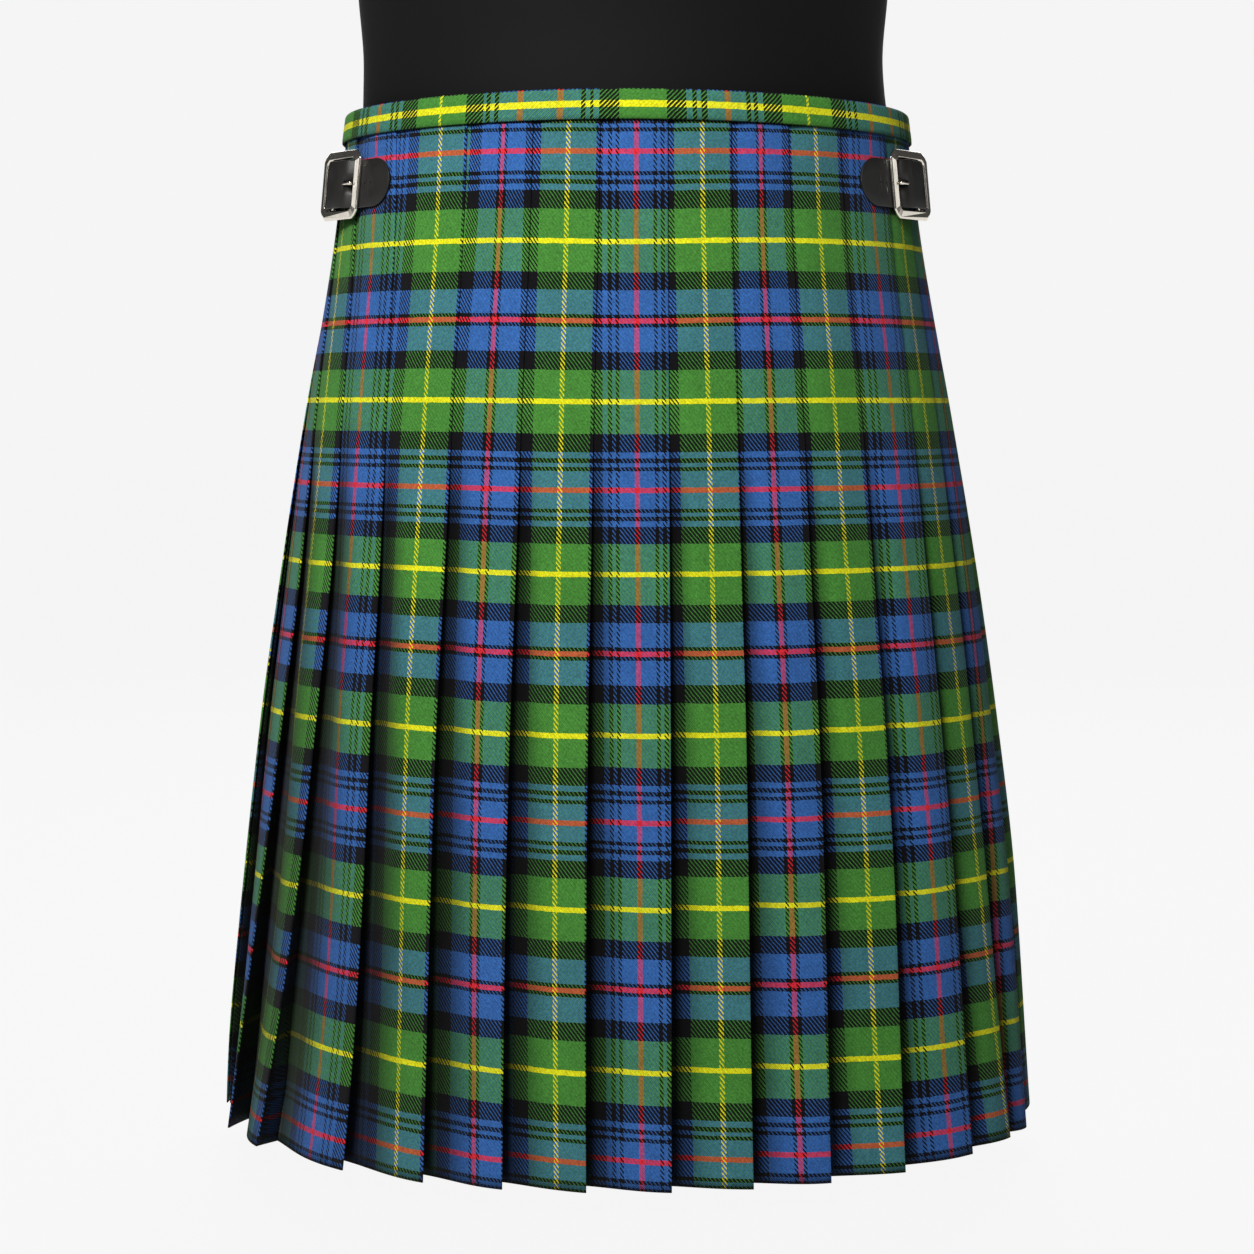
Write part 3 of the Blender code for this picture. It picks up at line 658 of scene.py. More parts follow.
def over_apron_row(drop):
    ring = Ring(drop)
    rise = fold_rise(drop)
    free = OVER_FREE_EDGE[0] + (OVER_FREE_EDGE[1] - OVER_FREE_EDGE[0]) * drop / LENGTH
    folded = fold_angle(FOLDS[0], drop)
    row = []
    for i in range(APRON_STEPS + 1):
        angle = free + (folded - free) * i / APRON_STEPS
        settle = smooth((folded - angle) / APRON_SETTLE)
        level = (rise + APRON_LIFT) * (1 - settle) + APRON_LEVEL * settle
        x, y = ring.point(angle, rise + CLOTH / 2 - level + crease_depth(ring, angle))
        along = FRONT_LINE + front_distance(ring, angle)
        row.append(((x, y, TOP_HEIGHT - drop), along, along, cloth_down(drop, angle)))
    return row


def under_apron_row(drop):
    ring = Ring(drop)
    rise = fold_rise(drop)
    last = fold_angle(FOLDS[-1], drop)
    seam = last + ring.degrees(last, UNDER_SEAM)
    free = UNDER_FREE_EDGE[0] + (UNDER_FREE_EDGE[1] - UNDER_FREE_EDGE[0]) * drop / LENGTH
    row = []
    for i in range(APRON_STEPS + 1):
        angle = seam + (free - seam) * i / APRON_STEPS
        x, y = ring.point(angle, rise + CLOTH / 2 + crease_depth(ring, angle))
        along = FRONT_LINE + front_distance(ring, angle)
        height = TOP_HEIGHT - drop + hem_lift(drop, angle)
        row.append(((x, y, height), along, along, cloth_down(drop, angle)))
    return row


for name, node, row_at in (
    ("over_apron", "apron_over", over_apron_row),
    ("under_apron", "apron_under", under_apron_row),
):
    apron_rows = [row_at(drop) for drop in hanging_drops()]
    apron = loft(name, apron_rows)
    give_thickness(apron, CLOTH)
    finish_piece(apron, tartan, node)

# The waistband: a strip of the same cloth cut across, so that its yellow line runs round the
# waist. It is folded over the top edge and its lower edge is turned under and sewn.
BAND_DEPTH = 0.017
BAND_GAP = 0.0008
BAND_RISE = 0.0020
BAND_CLOTH = 0.0012
BAND_STEPS_OUT = (-98.0, -104.0)
BAND_STEPS_OFF = (-116.0, -122.0)
BAND_STEPS_IN = (107.0, 114.0)
BAND_COLUMNS = 318
BAND_TWILL_REPEAT = 0.0026
BAND_WEFT_SHARE = 0.50
BAND_RISE_REACH = 48.0
BAND_YELLOW = -0.1110
# The strip's own crossing stripes, in tenths of a millimetre, from one yellow line to the next.
BAND_CROSSING = [
    ("yellow", 14), ("green", 161), ("black", 102), ("blue", 23), ("black", 23), ("blue", 23),
    ("black", 23), ("blue", 114), ("red", 28), ("blue", 198), ("red", 28), ("blue", 105),
    ("black", 23), ("blue", 23), ("black", 23), ("blue", 34), ("black", 106), ("green", 259),
    ("black", 108), ("blue", 34), ("black", 23), ("blue", 23), ("black", 34), ("blue", 107),
    ("red", 28), ("blue", 92), ("black", 23), ("blue", 23), ("black", 23), ("blue", 34),
    ("black", 120), ("green", 159),
]
# The stripes along the strip, in tenths of a millimetre down from its top edge.
# The thin black first stripe is painted shadow along the top fold of the strip, where it meets the
# form.
BAND_ALONG = [("black", 6), ("green", 60), ("yellow", 38), ("green", 66)]


def band_crossing_at(tree, distance):
    total = sum(width for colour, width in BAND_CROSSING) / 10000
    moved = maths(tree, "ADD", distance, total * 8 - BAND_YELLOW)
    share = maths(tree, "MULTIPLY", maths(tree, "MODULO", moved, total), 1 / total)
    return striped(tree, share, BAND_CROSSING)


def band_along_at(tree, distance):
    share = maths(tree, "MULTIPLY", distance, 1 / BAND_DEPTH, use_clamp=True)
    return striped(tree, share, BAND_ALONG)


band_cloth = twill_cloth(
    "worsted_twill_band", band_crossing_at, band_along_at, BAND_TWILL_REPEAT, 1.0,
    BAND_WEFT_SHARE)


def part_way(angle, start, finish):
    return min(1.0, max(0.0, (angle - start) / (finish - start)))


def band_column(angle, around):
    """Closed section of the folded strip, from its outer lower edge over the top and back."""
    inner = -(CLOTH / 2 + BAND_GAP) + part_way(angle, *BAND_STEPS_OFF) * APRON_LEVEL
    outer = 2 * LAYER + CLOTH / 2 + BAND_GAP
    outer += part_way(angle, *BAND_STEPS_OUT) * (APRON_LEVEL - 2 * LAYER)
    outer -= part_way(angle, *BAND_STEPS_IN) * 2 * LAYER
    top, wall = 0.0016, BAND_CLOTH
    profile = [
        (outer + wall * 0.5, BAND_DEPTH), (outer + wall, BAND_DEPTH - 0.0005),
        (outer + wall * 1.15, 0.0140), (outer + wall * 1.05, 0.0085),
        (outer + wall, 0.0040), (outer + wall * 0.95, top),
        (outer + wall * 0.6, top * 0.35), (outer, 0.0),
        (inner, 0.0), (inner - wall * 0.7, top * 0.4), (inner - wall, top), (inner - wall, 0.0085),
        (inner - wall, BAND_DEPTH), (inner, BAND_DEPTH), (inner, 0.0085), (inner, top),
        (outer, top), (outer, 0.0085), (outer, BAND_DEPTH),
    ]
    high, low = Ring(0.0), Ring(BAND_DEPTH)
    lean = [b - a for a, b in zip(high.point(angle, 0.0), low.point(angle, 0.0))]
    raised = BAND_RISE * math.exp(-(angle / BAND_RISE_REACH) ** 2)
    column = []
    for level, drop in profile:
        x, y = high.point(angle, 2 * LAYER + CLOTH / 2 - level)
        t = drop / BAND_DEPTH
        place = (x + lean[0] * t, y + lean[1] * t, TOP_HEIGHT - drop + raised)
        column.append((place, drop, drop, around))
    return column


def close_ends(piece):
    """Fill the open ends of a piece and turn its faces outward."""
    shell = bmesh.new()
    shell.from_mesh(piece.data)
    bmesh.ops.holes_fill(shell, edges=[edge for edge in shell.edges if edge.is_boundary], sides=0)
    bmesh.ops.recalc_face_normals(shell, faces=shell.faces)
    shell.to_mesh(piece.data)
    shell.free()


def make_band():
    start, finish = OVER_FREE_EDGE[0], UNDER_FREE_EDGE[0]
    waist = Ring(0.0)
    around = 0.0
    columns = []
    for i in range(BAND_COLUMNS + 1):
        angle = start + (finish - start) * i / BAND_COLUMNS
        columns.append((angle, around))
        around += (finish - start) / BAND_COLUMNS / waist.degrees(angle, 1.0)
    middle = min(columns, key=lambda column: abs(column[0]))[1]
    rows = [band_column(angle, distance - middle) for angle, distance in columns]
    band = loft("waist_band", rows, closed=True)
    turned = band.data.uv_layers["cloth"].data
    for corner in turned:
        corner.uv = (corner.uv.y, corner.uv.x)
    close_ends(band)
    return band, around


band, band_length = make_band()
finish_piece(band, band_cloth, "waistband")

# The straps: black bridle leather, cut 28 mm wide with a round end. Each is sewn down at its
# far end and goes under the near bar of its buckle, over the middle bar and under the far bar.
# A short tab of the same leather holds each buckle.
STRAP_DROP = 0.0443
STRAP_TURN = math.radians(52.0)
STRAP_LEAN = math.radians(6.3)
STRAP_HALF = 0.014
STRAP_THICK = 0.0016
STRAP_SEAT = 0.0035
STRAP_BED = 0.120
STRAP_END = -0.0475
BUCKLE_AWAY = {-1: 0.030, 1: 0.0272}
BUCKLE_HALF_LENGTH = 0.0195
BUCKLE_HALF_HEIGHT = 0.0203
# Places along the buckle and above its middle, in millimetres, that the strap passes through.
STRAP_THREADING = [
    (-32.4, -2.37), (-30.6, -2.36), (-27.8, -2.35), (-24.0, -2.35), (-20.0, -2.35), (-16.6, -2.35),
    (-14.2, -2.35), (-12.4, -2.10), (-11.0, -0.70), (-9.4, 1.00), (-7.2, 2.20), (-4.5, 2.75),
    (-2.0, 2.90), (0.0, 2.70), (4.0, 2.40), (8.5, 2.10), (10.5, 1.50), (13.2, -2.20),
    (14.4, -2.40), (19.0, -2.40),
]
STRAP_UNDER = -0.00235
TAB_UNDER = -0.0043
ROUND_END_STEPS = 26
STRAP_FAR = (-86.0, -116.0)
SPARE_HOLES = (-0.0240, -0.0299)
STRAP_CLEARANCE = 0.0046
TAB_FAR = -130.0
TAB_BELOW = 0.00195
CENTRE_BAR = (0.0085, -0.0014)
CENTRE_BAR_RADIUS = 0.0009
PRONG_RADIUS = 0.0011
PRONG_GAP = 0.00025
PRONG_TIP_AT = -0.0153
BUCKLE_HALF_THICK = 0.0012


def leather(name):
    """Bridle leather, dyed black and waxed: near black, a satin gloss and a fine pebbled grain."""
    material, tree = new_material(name)
    metres = in_metres(tree)
    pores = add_node(tree, "ShaderNodeTexVoronoi", {"Vector": metres, "Scale": 1400.0})
    cloudy = noise(tree, metres, 120.0, 4.0)
    grain = maths(tree, "ADD", pores.outputs["Distance"], cloudy)
    give_surface(tree, {
        "Base Color": mixed(tree, cloudy, linear("#161514"), linear("#211f1d"), data_type="RGBA"),
        "Roughness": ranged(tree, cloudy, 0.3, 0.7, 0.40, 0.52), "Specular IOR Level": 0.38,
        "Normal": relief(tree, 0.25, 0.0002, grain),
    })
    return material


bridle_leather = leather("black_bridle_leather")


def place_of(ring_drop, angle, inset):
    x, y = Ring(ring_drop).point(angle, inset)
    return Vector((x, y, TOP_HEIGHT - ring_drop))


def buckle_frame_of(side):
    """Matrix of a buckle: X along the strap away from the pleats, Z out from the cloth."""
    ring = Ring(STRAP_DROP)
    touch = math.degrees(math.atan(math.tan(STRAP_TURN) * ring.half_width / ring.back))
    base = place_of(STRAP_DROP, touch * side, -STRAP_SEAT)
    along = Vector((side * math.cos(STRAP_TURN), math.sin(STRAP_TURN), 0.0))
    level_out = Vector((side * math.sin(STRAP_TURN), -math.cos(STRAP_TURN), 0.0))
    out = level_out * math.cos(STRAP_LEAN) + Vector((0.0, 0.0, math.sin(STRAP_LEAN)))
    turn = Matrix((along, out.cross(along), out)).transposed().to_4x4()
    return Matrix.Translation(base + along * BUCKLE_AWAY[side]) @ turn


def far_route(side, last_near, control, clearance, finish):
    """From the buckle's far bar round to the apron."""
    landing = place_of(STRAP_DROP, STRAP_FAR[0] * -side, -clearance)
    points = []
    for t in (0.2, 0.4, 0.6, 0.8, 1.0):
        points.append(last_near * (1 - t) ** 2 + control * 2 * t * (1 - t) + landing * t * t)
    count = round((STRAP_FAR[0] - finish) / 6.0)
    for i in range(1, count + 1):
        angle = STRAP_FAR[0] + (finish - STRAP_FAR[0]) * i / count
        points.append(place_of(STRAP_DROP, angle * -side, -clearance))
    return points


def rounded_route(points, widths, step=0.0012):
    """The same route with soft bends: a Catmull-Rom curve, sampled at even steps."""
    dense = []
    for i in range(len(points) - 1):
        a, b, c, d = (points[min(max(i + k, 0), len(points) - 1)] for k in (-1, 0, 1, 2))
        count = max(2, round((c - b).length / step))
        for j in range(count):
            t = j / count
            place = (b * 2 + (c - a) * t + (a * 2 - b * 5 + c * 4 - d) * t ** 2
                     + (b * 3 - a - c * 3 + d) * t ** 3) / 2
            dense.append((place, widths[i] + (widths[i + 1] - widths[i]) * t))
    dense.append((points[-1], widths[-1]))
    return dense


def leather_strip(name, side, frame, near_length, points, widths):
    """A strap with rounded edges, square to the buckle and leaning with the cloth beyond it."""
    route = rounded_route(points, widths)
    rounding = 0.0005
    half_thick = STRAP_THICK / 2
    rows = []
    travelled = 0.0
    for i, (place, half) in enumerate(route):
        ahead = (route[min(i + 1, len(route) - 1)][0] - route[max(i - 1, 0)][0]).normalized()
        if i:
            travelled += (place - route[i - 1][0]).length
        level_out = Vector((ahead.y, -ahead.x, 0.0)).normalized() * side
        leaning = level_out * math.cos(STRAP_LEAN) + Vector((0.0, 0.0, math.sin(STRAP_LEAN)))
        turned = leaning.cross(ahead).normalized()
        blend = smooth((travelled - near_length) / 0.008)
        across = (frame.col[1].to_3d() * (1 - blend) + turned * blend).normalized()
        out = ahead.cross(across).normalized()
        rim = half - rounding
        section = [
            (half, half_thick - rounding), (rim + rounding * 0.7, half_thick - rounding * 0.3),
            (rim, half_thick), (rim * 0.5, half_thick), (0.0, half_thick), (-rim * 0.5, half_thick),
            (-rim, half_thick),
            (-rim - rounding * 0.7, half_thick - rounding * 0.3), (-half, half_thick - rounding),
        ]
        section += [(wide, -thick) for wide, thick in reversed(section)]
        row = []
        for wide, thick in section:
            row.append((place + across * wide + out * thick, wide, wide, travelled))
        rows.append(row)
    strip = loft(name, rows, closed=True)
    close_ends(strip)
    return strip


def object_from(work, name):
    """A new object from drawn faces, turned outward."""
    bmesh.ops.recalc_face_normals(work, faces=work.faces)
    mesh = bpy.data.meshes.new(name)
    work.to_mesh(mesh)
    work.free()
    return new_object(name, mesh)


def pill(name, centre, length, width, deep, frame):
    """A cutter with round ends, for a prong hole or slot."""
    work = bmesh.new()
    outline = []
    for end, start in ((1, -90), (-1, 90)):
        for i in range(9):
            turn = math.radians(start + 180 * i / 8)
            x = end * (length - width) / 2 + width / 2 * math.cos(turn)
            outline.append(work.verts.new((centre + x, width / 2 * math.sin(turn), -deep / 2)))
    bottom = work.faces.new(outline)
    raised = bmesh.ops.extrude_face_region(work, geom=[bottom])["geom"]
    lifted = [item for item in raised if isinstance(item, bmesh.types.BMVert)]
    bmesh.ops.translate(work, vec=(0, 0, deep), verts=lifted)
    cutter = object_from(work, name)
    cutter.matrix_world = frame
    return cutter


def plain_mesh(piece):
    """The mesh of a piece with all that is drawn or cut on it."""
    bpy.context.view_layer.update()
    return bpy.data.meshes.new_from_object(
        piece.evaluated_get(bpy.context.evaluated_depsgraph_get()))


def punch(piece, cutters):
    """Cut the holes, keep the plain mesh and throw the cutters away."""
    for cutter in cutters:
        boolean = piece.modifiers.new("hole", "BOOLEAN")
        boolean.operation = "DIFFERENCE"
        boolean.solver = "EXACT"
        boolean.object = cutter
    finished = plain_mesh(piece)
    piece.modifiers.clear()
    piece.data = finished
    for cutter in cutters:
        bpy.data.objects.remove(cutter, do_unlink=True)


def make_strap(side, word, frame):
    near, widths = [], []
    for i in range(ROUND_END_STEPS + 1):
        share = 1 - math.cos(math.pi / 2 * i / ROUND_END_STEPS)
        along = STRAP_END + share * STRAP_HALF
        bed = STRAP_UNDER - (along + BUCKLE_AWAY[side]) ** 2 / (2 * STRAP_BED)
        near.append(frame @ Vector((along, 0.0, bed)))
        widths.append(max(STRAP_HALF * math.sqrt(1 - (1 - share) ** 2), 0.0016))
    for along, height in STRAP_THREADING:
        near.append(frame @ Vector((along / 1000, 0.0, height / 1000)))
        widths.append(STRAP_HALF)
    near_length = sum((a - b).length for a, b in zip(near, near[1:]))
    control = frame @ Vector((BUCKLE_HALF_LENGTH + 0.0015, 0.0, STRAP_UNDER))
    points = near + far_route(side, near[-1], control, STRAP_CLEARANCE, STRAP_FAR[1])
    widths += [STRAP_HALF] * (len(points) - len(widths))
    for back, share in ((1, 0.45), (2, 0.85)):
        widths[-back] = STRAP_HALF * share
    strap = leather_strip("strap_leather_" + word, side, frame, near_length, points, widths)
    holes = [pill("prong_hole", -0.0098, 0.0066, 0.0036, 0.0120, frame)]
    for along in SPARE_HOLES:
        holes.append(pill("awl_mark", along, 0.0011, 0.0009, 0.0090, frame))
    punch(strap, holes)
    return strap


def make_tab(side, word, frame):
    """The short piece that holds the buckle, hooked round the middle bar and sewn to the apron."""
    reach = CENTRE_BAR_RADIUS + PRONG_GAP + STRAP_THICK / 2
    near = []
    for turn in (180, 205, 230, 255, 280):
        turn = math.radians(turn)
        near.append((CENTRE_BAR[0] + reach * math.cos(turn), 0.0,
                     CENTRE_BAR[1] + reach * math.sin(turn)))
    near += [(0.0118, 0.0, -0.0039), (0.0142, 0.0, TAB_UNDER), (0.0190, 0.0, TAB_UNDER)]
    near = [frame @ Vector(place) for place in near]
    near_length = sum((a - b).length for a, b in zip(near, near[1:]))
    control = frame @ Vector((BUCKLE_HALF_LENGTH + 0.0005, 0.0, TAB_UNDER))
    points = near + far_route(side, near[-1], control, STRAP_CLEARANCE - TAB_BELOW, TAB_FAR)
    widths = [STRAP_HALF] * len(points)
    tab = leather_strip("tab_leather_" + word, side, frame, near_length, points, widths)
    punch(tab, [pill("tab_slot", 0.0083, 0.0085, 0.0036, 0.0125, frame)])
    return tab


# The stitches: waxed black thread, sewn by hand in a box through the end of each strap and tab.
# The thread is 0.7 mm thick, and a stitch is 2.6 mm long with a short gap after it.
STITCH_LENGTH = 0.0026
STITCH_PITCH = 0.0034
THREAD_RADIUS = 0.00035
BOX_HALF = 0.0105


def waxed_thread(name):
    """Waxed linen thread: dull black with a faint shine on each stitch, paler than the leather."""
    material, tree = new_material(name)
    plies = noise(tree, in_metres(tree), 1500.0, 2.0)
    give_surface(tree, {
        "Base Color": mixed(tree, plies, linear("#1e1d1c"), linear("#4a4743"), data_type="RGBA"),
        "Roughness": 0.45, "Specular IOR Level": 0.4,
    })
    return material


def stitching_tree():
    """Geometry nodes that set a short bead of thread at every pitch along the sewing line."""
    tree = bpy.data.node_groups.new("stitches_along_line", "GeometryNodeTree")
    for name, kind in (("Sewing line", "NodeSocketGeometry"), ("Pitch", "NodeSocketFloat"),
                       ("Stitch length", "NodeSocketFloat"), ("Thread radius", "NodeSocketFloat"),
                       ("Thread", "NodeSocketMaterial")):
        tree.interface.new_socket(name, in_out="INPUT", socket_type=kind)
    tree.interface.new_socket("Stitches", in_out="OUTPUT", socket_type="NodeSocketGeometry")
    given = add_node(tree, "NodeGroupInput").outputs
    line = add_node(tree, "GeometryNodeMeshToCurve", {"Mesh": given["Sewing line"]})
    spaced = add_node(tree, "GeometryNodeResampleCurve", {
        "Curve": line.outputs["Curve"], "Length": given["Pitch"]}, mode="LENGTH")
    along = add_node(tree, "GeometryNodeInputTangent").outputs["Tangent"]
    turned = add_node(tree, "FunctionNodeAlignRotationToVector", {"Vector": along}, axis="X")
    size = add_node(tree, "ShaderNodeCombineXYZ", {
        "X": maths(tree, "MULTIPLY", given["Stitch length"], 0.5),
        "Y": given["Thread radius"], "Z": given["Thread radius"]})
    bead = add_node(tree, "GeometryNodeMeshIcoSphere", {"Radius": 1.0, "Subdivisions": 2})
    placed = add_node(tree, "GeometryNodeInstanceOnPoints", {
        "Points": spaced.outputs["Curve"], "Instance": bead.outputs["Mesh"],
        "Rotation": turned.outputs["Rotation"], "Scale": size.outputs["Vector"]})
    real = add_node(tree, "GeometryNodeRealizeInstances", {"Geometry": placed.outputs["Instances"]})
    finished = add_node(tree, "GeometryNodeSetMaterial", {
        "Geometry": real.outputs["Geometry"], "Material": given["Thread"]})
    add_node(tree, "NodeGroupOutput", {"Stitches": finished.outputs["Geometry"]})
    return tree


stitch_nodes = stitching_tree()
black_thread = waxed_thread("waxed_black_thread")


def sew(name, line):
    """Stitches along a closed line of points, as a plain mesh."""
    mesh = bpy.data.meshes.new(name + "_line")
    mesh.from_pydata(line, [(i, (i + 1) % len(line)) for i in range(len(line))], [])
    sewing = new_object(name, mesh)
    nodes = sewing.modifiers.new("stitches", "NODES")
    nodes.node_group = stitch_nodes
    given = {
        "Pitch": STITCH_PITCH, "Stitch length": STITCH_LENGTH, "Thread radius": THREAD_RADIUS,
        "Thread": black_thread,
    }
    for item in stitch_nodes.interface.items_tree:
        if item.name in given:
            nodes[item.identifier] = given[item.name]
    plain = plain_mesh(sewing)
    sewing.modifiers.clear()
    sewing.data = plain
    return sewing


def box_line(side, near_angle, far_angle, clearance):
    """The sewn box on a strap or tab, on the leather's outer face."""
    corners = (
        (near_angle, -BOX_HALF), (far_angle, -BOX_HALF),
        (far_angle, BOX_HALF), (near_angle, BOX_HALF))
    line = []
    for (angle, up), (next_angle, next_up) in zip(corners, corners[1:] + corners[:1]):
        for t in (0.0, 0.25, 0.5, 0.75):
            place = place_of(STRAP_DROP, (angle + (next_angle - angle) * t) * -side,
                             -clearance - STRAP_THICK / 2 + THREAD_RADIUS * 0.3)
            line.append(place + Vector((0.0, 0.0, up + (next_up - up) * t)))
    return line


for side, word in ((-1, "left"), (1, "right")):
    for name, near_angle, far_angle, clearance in (
        ("strap_stitches_", -103.0, -110.0, STRAP_CLEARANCE),
        ("tab_stitches_", -119.0, -128.0, STRAP_CLEARANCE - TAB_BELOW),
    ):
        stitches = sew(name + word, box_line(side, near_angle, far_angle, clearance))
        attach(stitches, "root")

# The buckles: pressed and nickel-plated steel. A flat frame with cut corners holds a middle
# bar, and a wire prong loops round that bar and rests its tip on the near bar.
def plated_metal(name):
    """Nickel plate on polished steel: a warm white metal with faint polishing marks."""
    material, tree = new_material(name)
    stretched = add_node(tree, "ShaderNodeMapping", {
        "Vector": in_metres(tree), "Scale": (1.0, 1.0, 0.15)})
    marks = noise(tree, stretched.outputs["Vector"], 900.0, 3.0)
    give_surface(tree, {
        "Base Color": linear("#e6dfd3"), "Metallic": 1.0,
        "Roughness": ranged(tree, marks, 0.3, 0.7, 0.10, 0.20),
        "Normal": relief(tree, 0.06, 0.0001, marks),
    })
    return material


nickel = plated_metal("polished_nickel_plate")
BUCKLE_BAR = 0.005
BUCKLE_RAIL = 0.0056


def softened_corners(half_length, half_height, chamfer):
    corners = []
    for x, y in ((1, 1), (-1, 1), (-1, -1), (1, -1)):
        first = (x * half_length, y * (half_height - chamfer))
        second = (x * (half_length - chamfer), y * half_height)
        middle = (x * (half_length - chamfer * 0.43), y * (half_height - chamfer * 0.43))
        corners += [first, middle, second] if x * y > 0 else [second, middle, first]
    return corners


def keep_mesh(drawn, name, frame):
    """The plain mesh of a drawn curve, put in its place with its doubles merged."""
    mesh = plain_mesh(drawn)
    bpy.data.objects.remove(drawn, do_unlink=True)
    work = bmesh.new()
    work.from_mesh(mesh)
    bpy.data.meshes.remove(mesh)
    bmesh.ops.remove_doubles(work, verts=work.verts, dist=0.00001)
    bmesh.ops.transform(work, matrix=frame, verts=work.verts)
    return object_from(work, name)


def make_frame(word, frame):
    """The frame's section runs from its outer to its inner edge: how far across, and how high.
    The near bar has its own, sloped down towards the strap's end."""
    thick = BUCKLE_HALF_THICK
    rail_section = [
        (0.0, -thick), (0.0, thick - 0.0013), (0.30, thick), (0.86, thick), (1.0, thick - 0.0006),
        (1.0, -thick),
    ]
    near_section = [
        (0.0, -thick), (0.0, thick - 0.0014), (0.10, thick - 0.0009), (0.80, thick),
        (1.0, thick - 0.0008), (1.0, -thick),
    ]
    outer = softened_corners(BUCKLE_HALF_LENGTH, BUCKLE_HALF_HEIGHT, 0.0050)
    inner = softened_corners(
        BUCKLE_HALF_LENGTH - BUCKLE_BAR, BUCKLE_HALF_HEIGHT - BUCKLE_RAIL, 0.0022)
    work = bmesh.new()
    loops = []
    for on_rail, on_near in zip(rail_section, near_section):
        loop = []
        for a, b in zip(outer, inner):
            share, height = on_near if a[0] < -BUCKLE_HALF_LENGTH * 0.7 else on_rail
            flat = Vector(a).lerp(Vector(b), share)
            loop.append(work.verts.new(frame @ Vector((flat.x, flat.y, height))))
        loops.append(loop)
    for i in range(len(loops)):
        near, far = loops[i], loops[(i + 1) % len(loops)]
        for j in range(len(near)):
            k = (j + 1) % len(near)
            work.faces.new((near[j], near[k], far[k], far[j]))
    plate = object_from(work, "buckle_plate_" + word)
    edges = plate.modifiers.new("polished edges", "BEVEL")
    edges.width = 0.00025
    edges.segments = 3
    edges.limit_method = "ANGLE"
    edges.angle_limit = math.radians(20)
    return plate


def make_wire(name, path, radius, frame):
    wire = bpy.data.curves.new(name, "CURVE")
    wire.dimensions = "3D"
    wire.bevel_depth = radius
    wire.bevel_resolution = 4
    wire.use_fill_caps = True
    spline = wire.splines.new("POLY")
    spline.points.add(len(path) - 1)
    for point, (along, up, height) in zip(spline.points, path):
        point.co = (along, up, height, 1.0)
    return keep_mesh(new_object(name, wire), name, frame)


def make_prong(word, frame):
    reach = CENTRE_BAR_RADIUS + PRONG_GAP + PRONG_RADIUS
    path = []
    for i in range(21):
        turn = math.radians(-130 + 220 * i / 20)
        path.append((CENTRE_BAR[0] + reach * math.cos(turn), 0.0,
                     CENTRE_BAR[1] + reach * math.sin(turn)))
    tip = BUCKLE_HALF_THICK + PRONG_GAP + PRONG_RADIUS
    start = path[-1]
    for i in range(1, 9):
        t = i / 8
        path.append((start[0] + (PRONG_TIP_AT - start[0]) * t, 0.0,
                     start[2] + (tip - start[2]) * t))
    return make_wire("prong_" + word, path, PRONG_RADIUS, frame)


def make_centre_bar(word, frame):
    reach = BUCKLE_HALF_HEIGHT - BUCKLE_RAIL / 2
    path = [(CENTRE_BAR[0], -reach + 2 * reach * i / 6, CENTRE_BAR[1]) for i in range(7)]
    return make_wire("middle_bar_" + word, path, CENTRE_BAR_RADIUS, frame)


for side, word in ((-1, "left"), (1, "right")):
    at_buckle = buckle_frame_of(side)
    for piece, node in (
        (make_strap(side, word, at_buckle), "strap_" + word),
        (make_tab(side, word, at_buckle), "buckle_tab_" + word),
    ):
        finish_piece(piece, bridle_leather, node)
    for piece, node in (
        (make_frame(word, at_buckle), "buckle_frame_" + word),
        (make_centre_bar(word, at_buckle), None),
        (make_prong(word, at_buckle), "buckle_prong_" + word),
    ):
        finish_piece(piece, nickel, node)

# The dress form: a moulded torso without limbs, covered in smooth matt black jersey.
# It stands on a painted steel pole with a turned collar, screwed to a round base plate.
FORM = table(
    "drop inset shift",
    (-0.1250, 0.0230, -0.0024), (-0.1230, 0.0125, -0.0024),
    (-0.1170, 0.0085, -0.0024), (-0.0950, 0.0072, -0.0024),
    (-0.0700, 0.0088, -0.0024), (-0.0375, 0.0114, -0.0024),
    (-0.0130, 0.0106, -0.0018), (0.0180, 0.0078, 0.0), (0.0320, 0.0074, 0.0),
    (0.0800, 0.0074, 0.0), (0.1400, 0.0074, 0.0), (0.1700, 0.0079, 0.0),
    (0.2100, 0.0140, 0.0), (0.2500, 0.0300, 0.0), (0.2820, 0.0540, 0.0),
    (0.3020, 0.0820, 0.0), (0.3100, 0.1050, 0.0),
)
# Drops below the form's top at which its rounded edge is drawn.
FORM_EDGE = (0.0, 0.0004, 0.0010, 0.0020, 0.0035, 0.0055)
FORM_WALL = 0.008
FORM_SIDES = 120
FORM_ROWS = 90


def make_torso():
    first, last = FORM[0].drop, FORM[-1].drop
    drops = [first + down for down in FORM_EDGE]
    wall = first + FORM_WALL
    drops += [wall + (last - wall) * i / FORM_ROWS for i in range(FORM_ROWS + 1)]
    rows = []
    for drop in drops:
        ring = Ring(drop)
        inset = value_at(FORM, drop, "inset")
        shift = value_at(FORM, drop, "shift")
        row = []
        for i in range(FORM_SIDES):
            x, y = ring.point(360.0 * i / FORM_SIDES, inset)
            row.append(((x + shift, y, TOP_HEIGHT - drop), i / FORM_SIDES, i / FORM_SIDES, drop))
        rows.append(row)
    torso = loft("dress_form", rows, closed=True)
    close_ends(torso)
    return torso


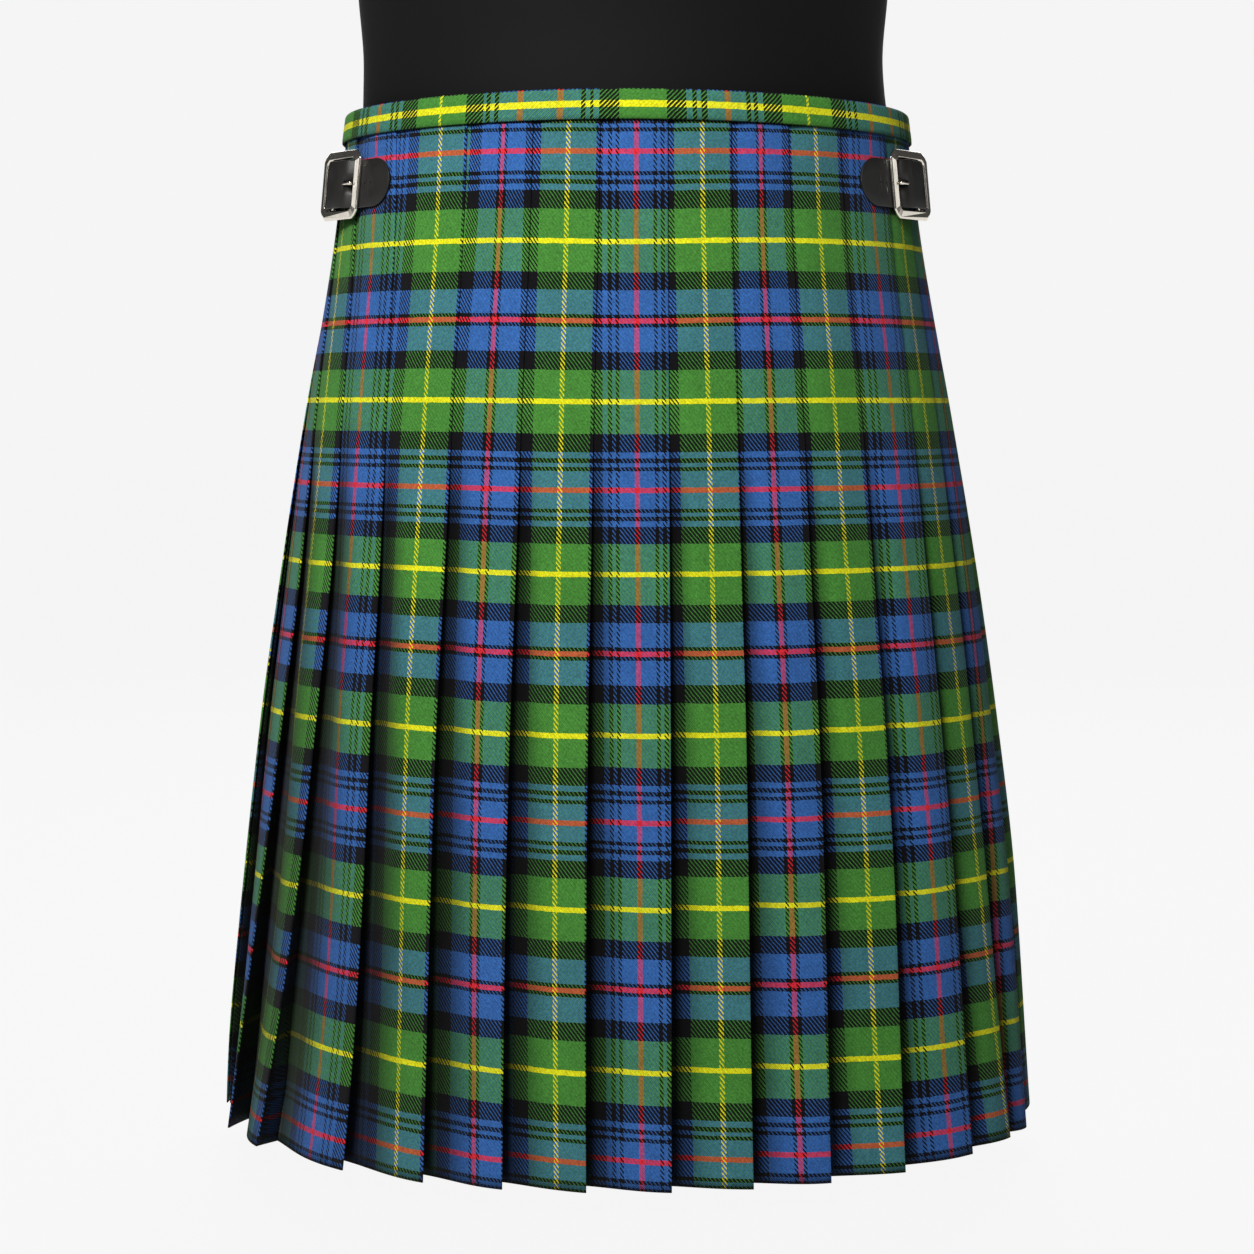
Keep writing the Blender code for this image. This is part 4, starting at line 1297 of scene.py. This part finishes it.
def matt_cover(name, hex_colour, roughness, grain):
    """Jersey or paint with a fine matt speckle: near black, with only a soft broad shine."""
    material, tree = new_material(name)
    speckle = noise(tree, in_metres(tree), grain, 3.0)
    shade = ranged(tree, speckle, 0.3, 0.7, 0.85, 1.15)
    give_surface(tree, {
        "Base Color": mixed(tree, 1.0, linear(hex_colour), shade, data_type="RGBA",
                            blend_type="MULTIPLY"),
        "Roughness": roughness, "Specular IOR Level": 0.16,
        "Normal": relief(tree, 0.15, 0.0002, speckle),
    })
    return material


black_jersey = matt_cover("matt_black_jersey", "#0c0c0d", 0.75, 1800.0)
finish_piece(make_torso(), black_jersey, "form_torso")

painted_steel = matt_cover("satin_black_paint", "#161617", 0.42, 700.0)
for node in ("form_pole", "form_base"):
    frame["nodes"][node].material_slots[0].material = painted_steel

# The studio: a wide white floor that meets an evenly pale background, a softbox above the
# camera on the left, weak ones in front and on the right, and one behind for the aprons.
CAMERA_AWAY = 1.6
CAMERA_HEIGHT = 0.4533
CAMERA_PITCH = math.radians(-4.80)
FOCAL_PIXELS = 2607.36
PHOTO_WIDTH = 1254
FLOOR_REACH = 40.0


def make_floor():
    """White paper, evenly lit: it stays as pale as the background, with a trace of shadow."""
    ends = (-FLOOR_REACH, FLOOR_REACH)
    floor = loft("white_floor", [[((x, y, 0.0), x, x, y) for x in ends] for y in ends])
    material, tree = new_material("white_paper")
    give_surface(tree, {
        "Base Color": linear("#181818"), "Roughness": 0.9, "Specular IOR Level": 0.1,
        "Emission Color": linear("#ffffff"), "Emission Strength": 0.908,
    })
    floor.data.materials.append(material)
    floor.visible_diffuse = False


def make_light(name, place, aim, size, power):
    lamp = bpy.data.lights.new(name, "AREA")
    lamp.shape = "RECTANGLE"
    lamp.size, lamp.size_y = size
    lamp.energy = power
    light = new_object(name, lamp)
    light.location = place
    light.rotation_euler = (Vector(aim) - Vector(place)).to_track_quat("-Z", "Y").to_euler()


make_floor()
make_light("key_softbox", (-0.60, -1.65, 1.60), (0, -0.1, 0.45), (0.6, 0.6), 39.5)
make_light("front_softbox", (0.1, -2.4, 1.5), (0, 0, 0.40), (1.0, 0.8), 3.0)
for side, word in ((-1, "left"), (1, "right")):
    make_light(
        word + "_strip", (side * 2.0, -0.10, 0.98), (side * 0.16, -0.08, 0.58), (0.5, 0.5), 1.0)
make_light("back_softbox", (0.0, 2.2, 1.8), (0, 0, 0.35), (2.4, 1.6), 60.0)

world = bpy.data.worlds.new("studio")
bpy.context.scene.world = world
world.use_nodes = True
world.node_tree.nodes.clear()
sky = world.node_tree
seen = add_node(sky, "ShaderNodeBackground", {"Color": linear("#f5f5f5"), "Strength": 1.0})
felt = add_node(sky, "ShaderNodeBackground", {"Color": linear("#ffffff"), "Strength": 0.06})
rays = add_node(sky, "ShaderNodeLightPath")
either = add_node(sky, "ShaderNodeMixShader", {
    0: rays.outputs["Is Camera Ray"], 1: felt.outputs[0], 2: seen.outputs[0]})
add_node(sky, "ShaderNodeOutputWorld", {"Surface": either.outputs[0]})
bpy.context.scene.view_settings.view_transform = "Standard"

# The camera stands 1.6 m behind the kilt and looks slightly down, as fitted to the outline.
lens = bpy.data.cameras.new("camera")
lens.sensor_width = 36.0
lens.lens = 36.0 * FOCAL_PIXELS / PHOTO_WIDTH
camera = new_object("camera", lens)
camera.location = (AXIS.x, AXIS.y - CAMERA_AWAY, CAMERA_HEIGHT)
camera.rotation_euler = (math.pi / 2 + CAMERA_PITCH, 0.0, 0.0)
bpy.context.scene.camera = camera
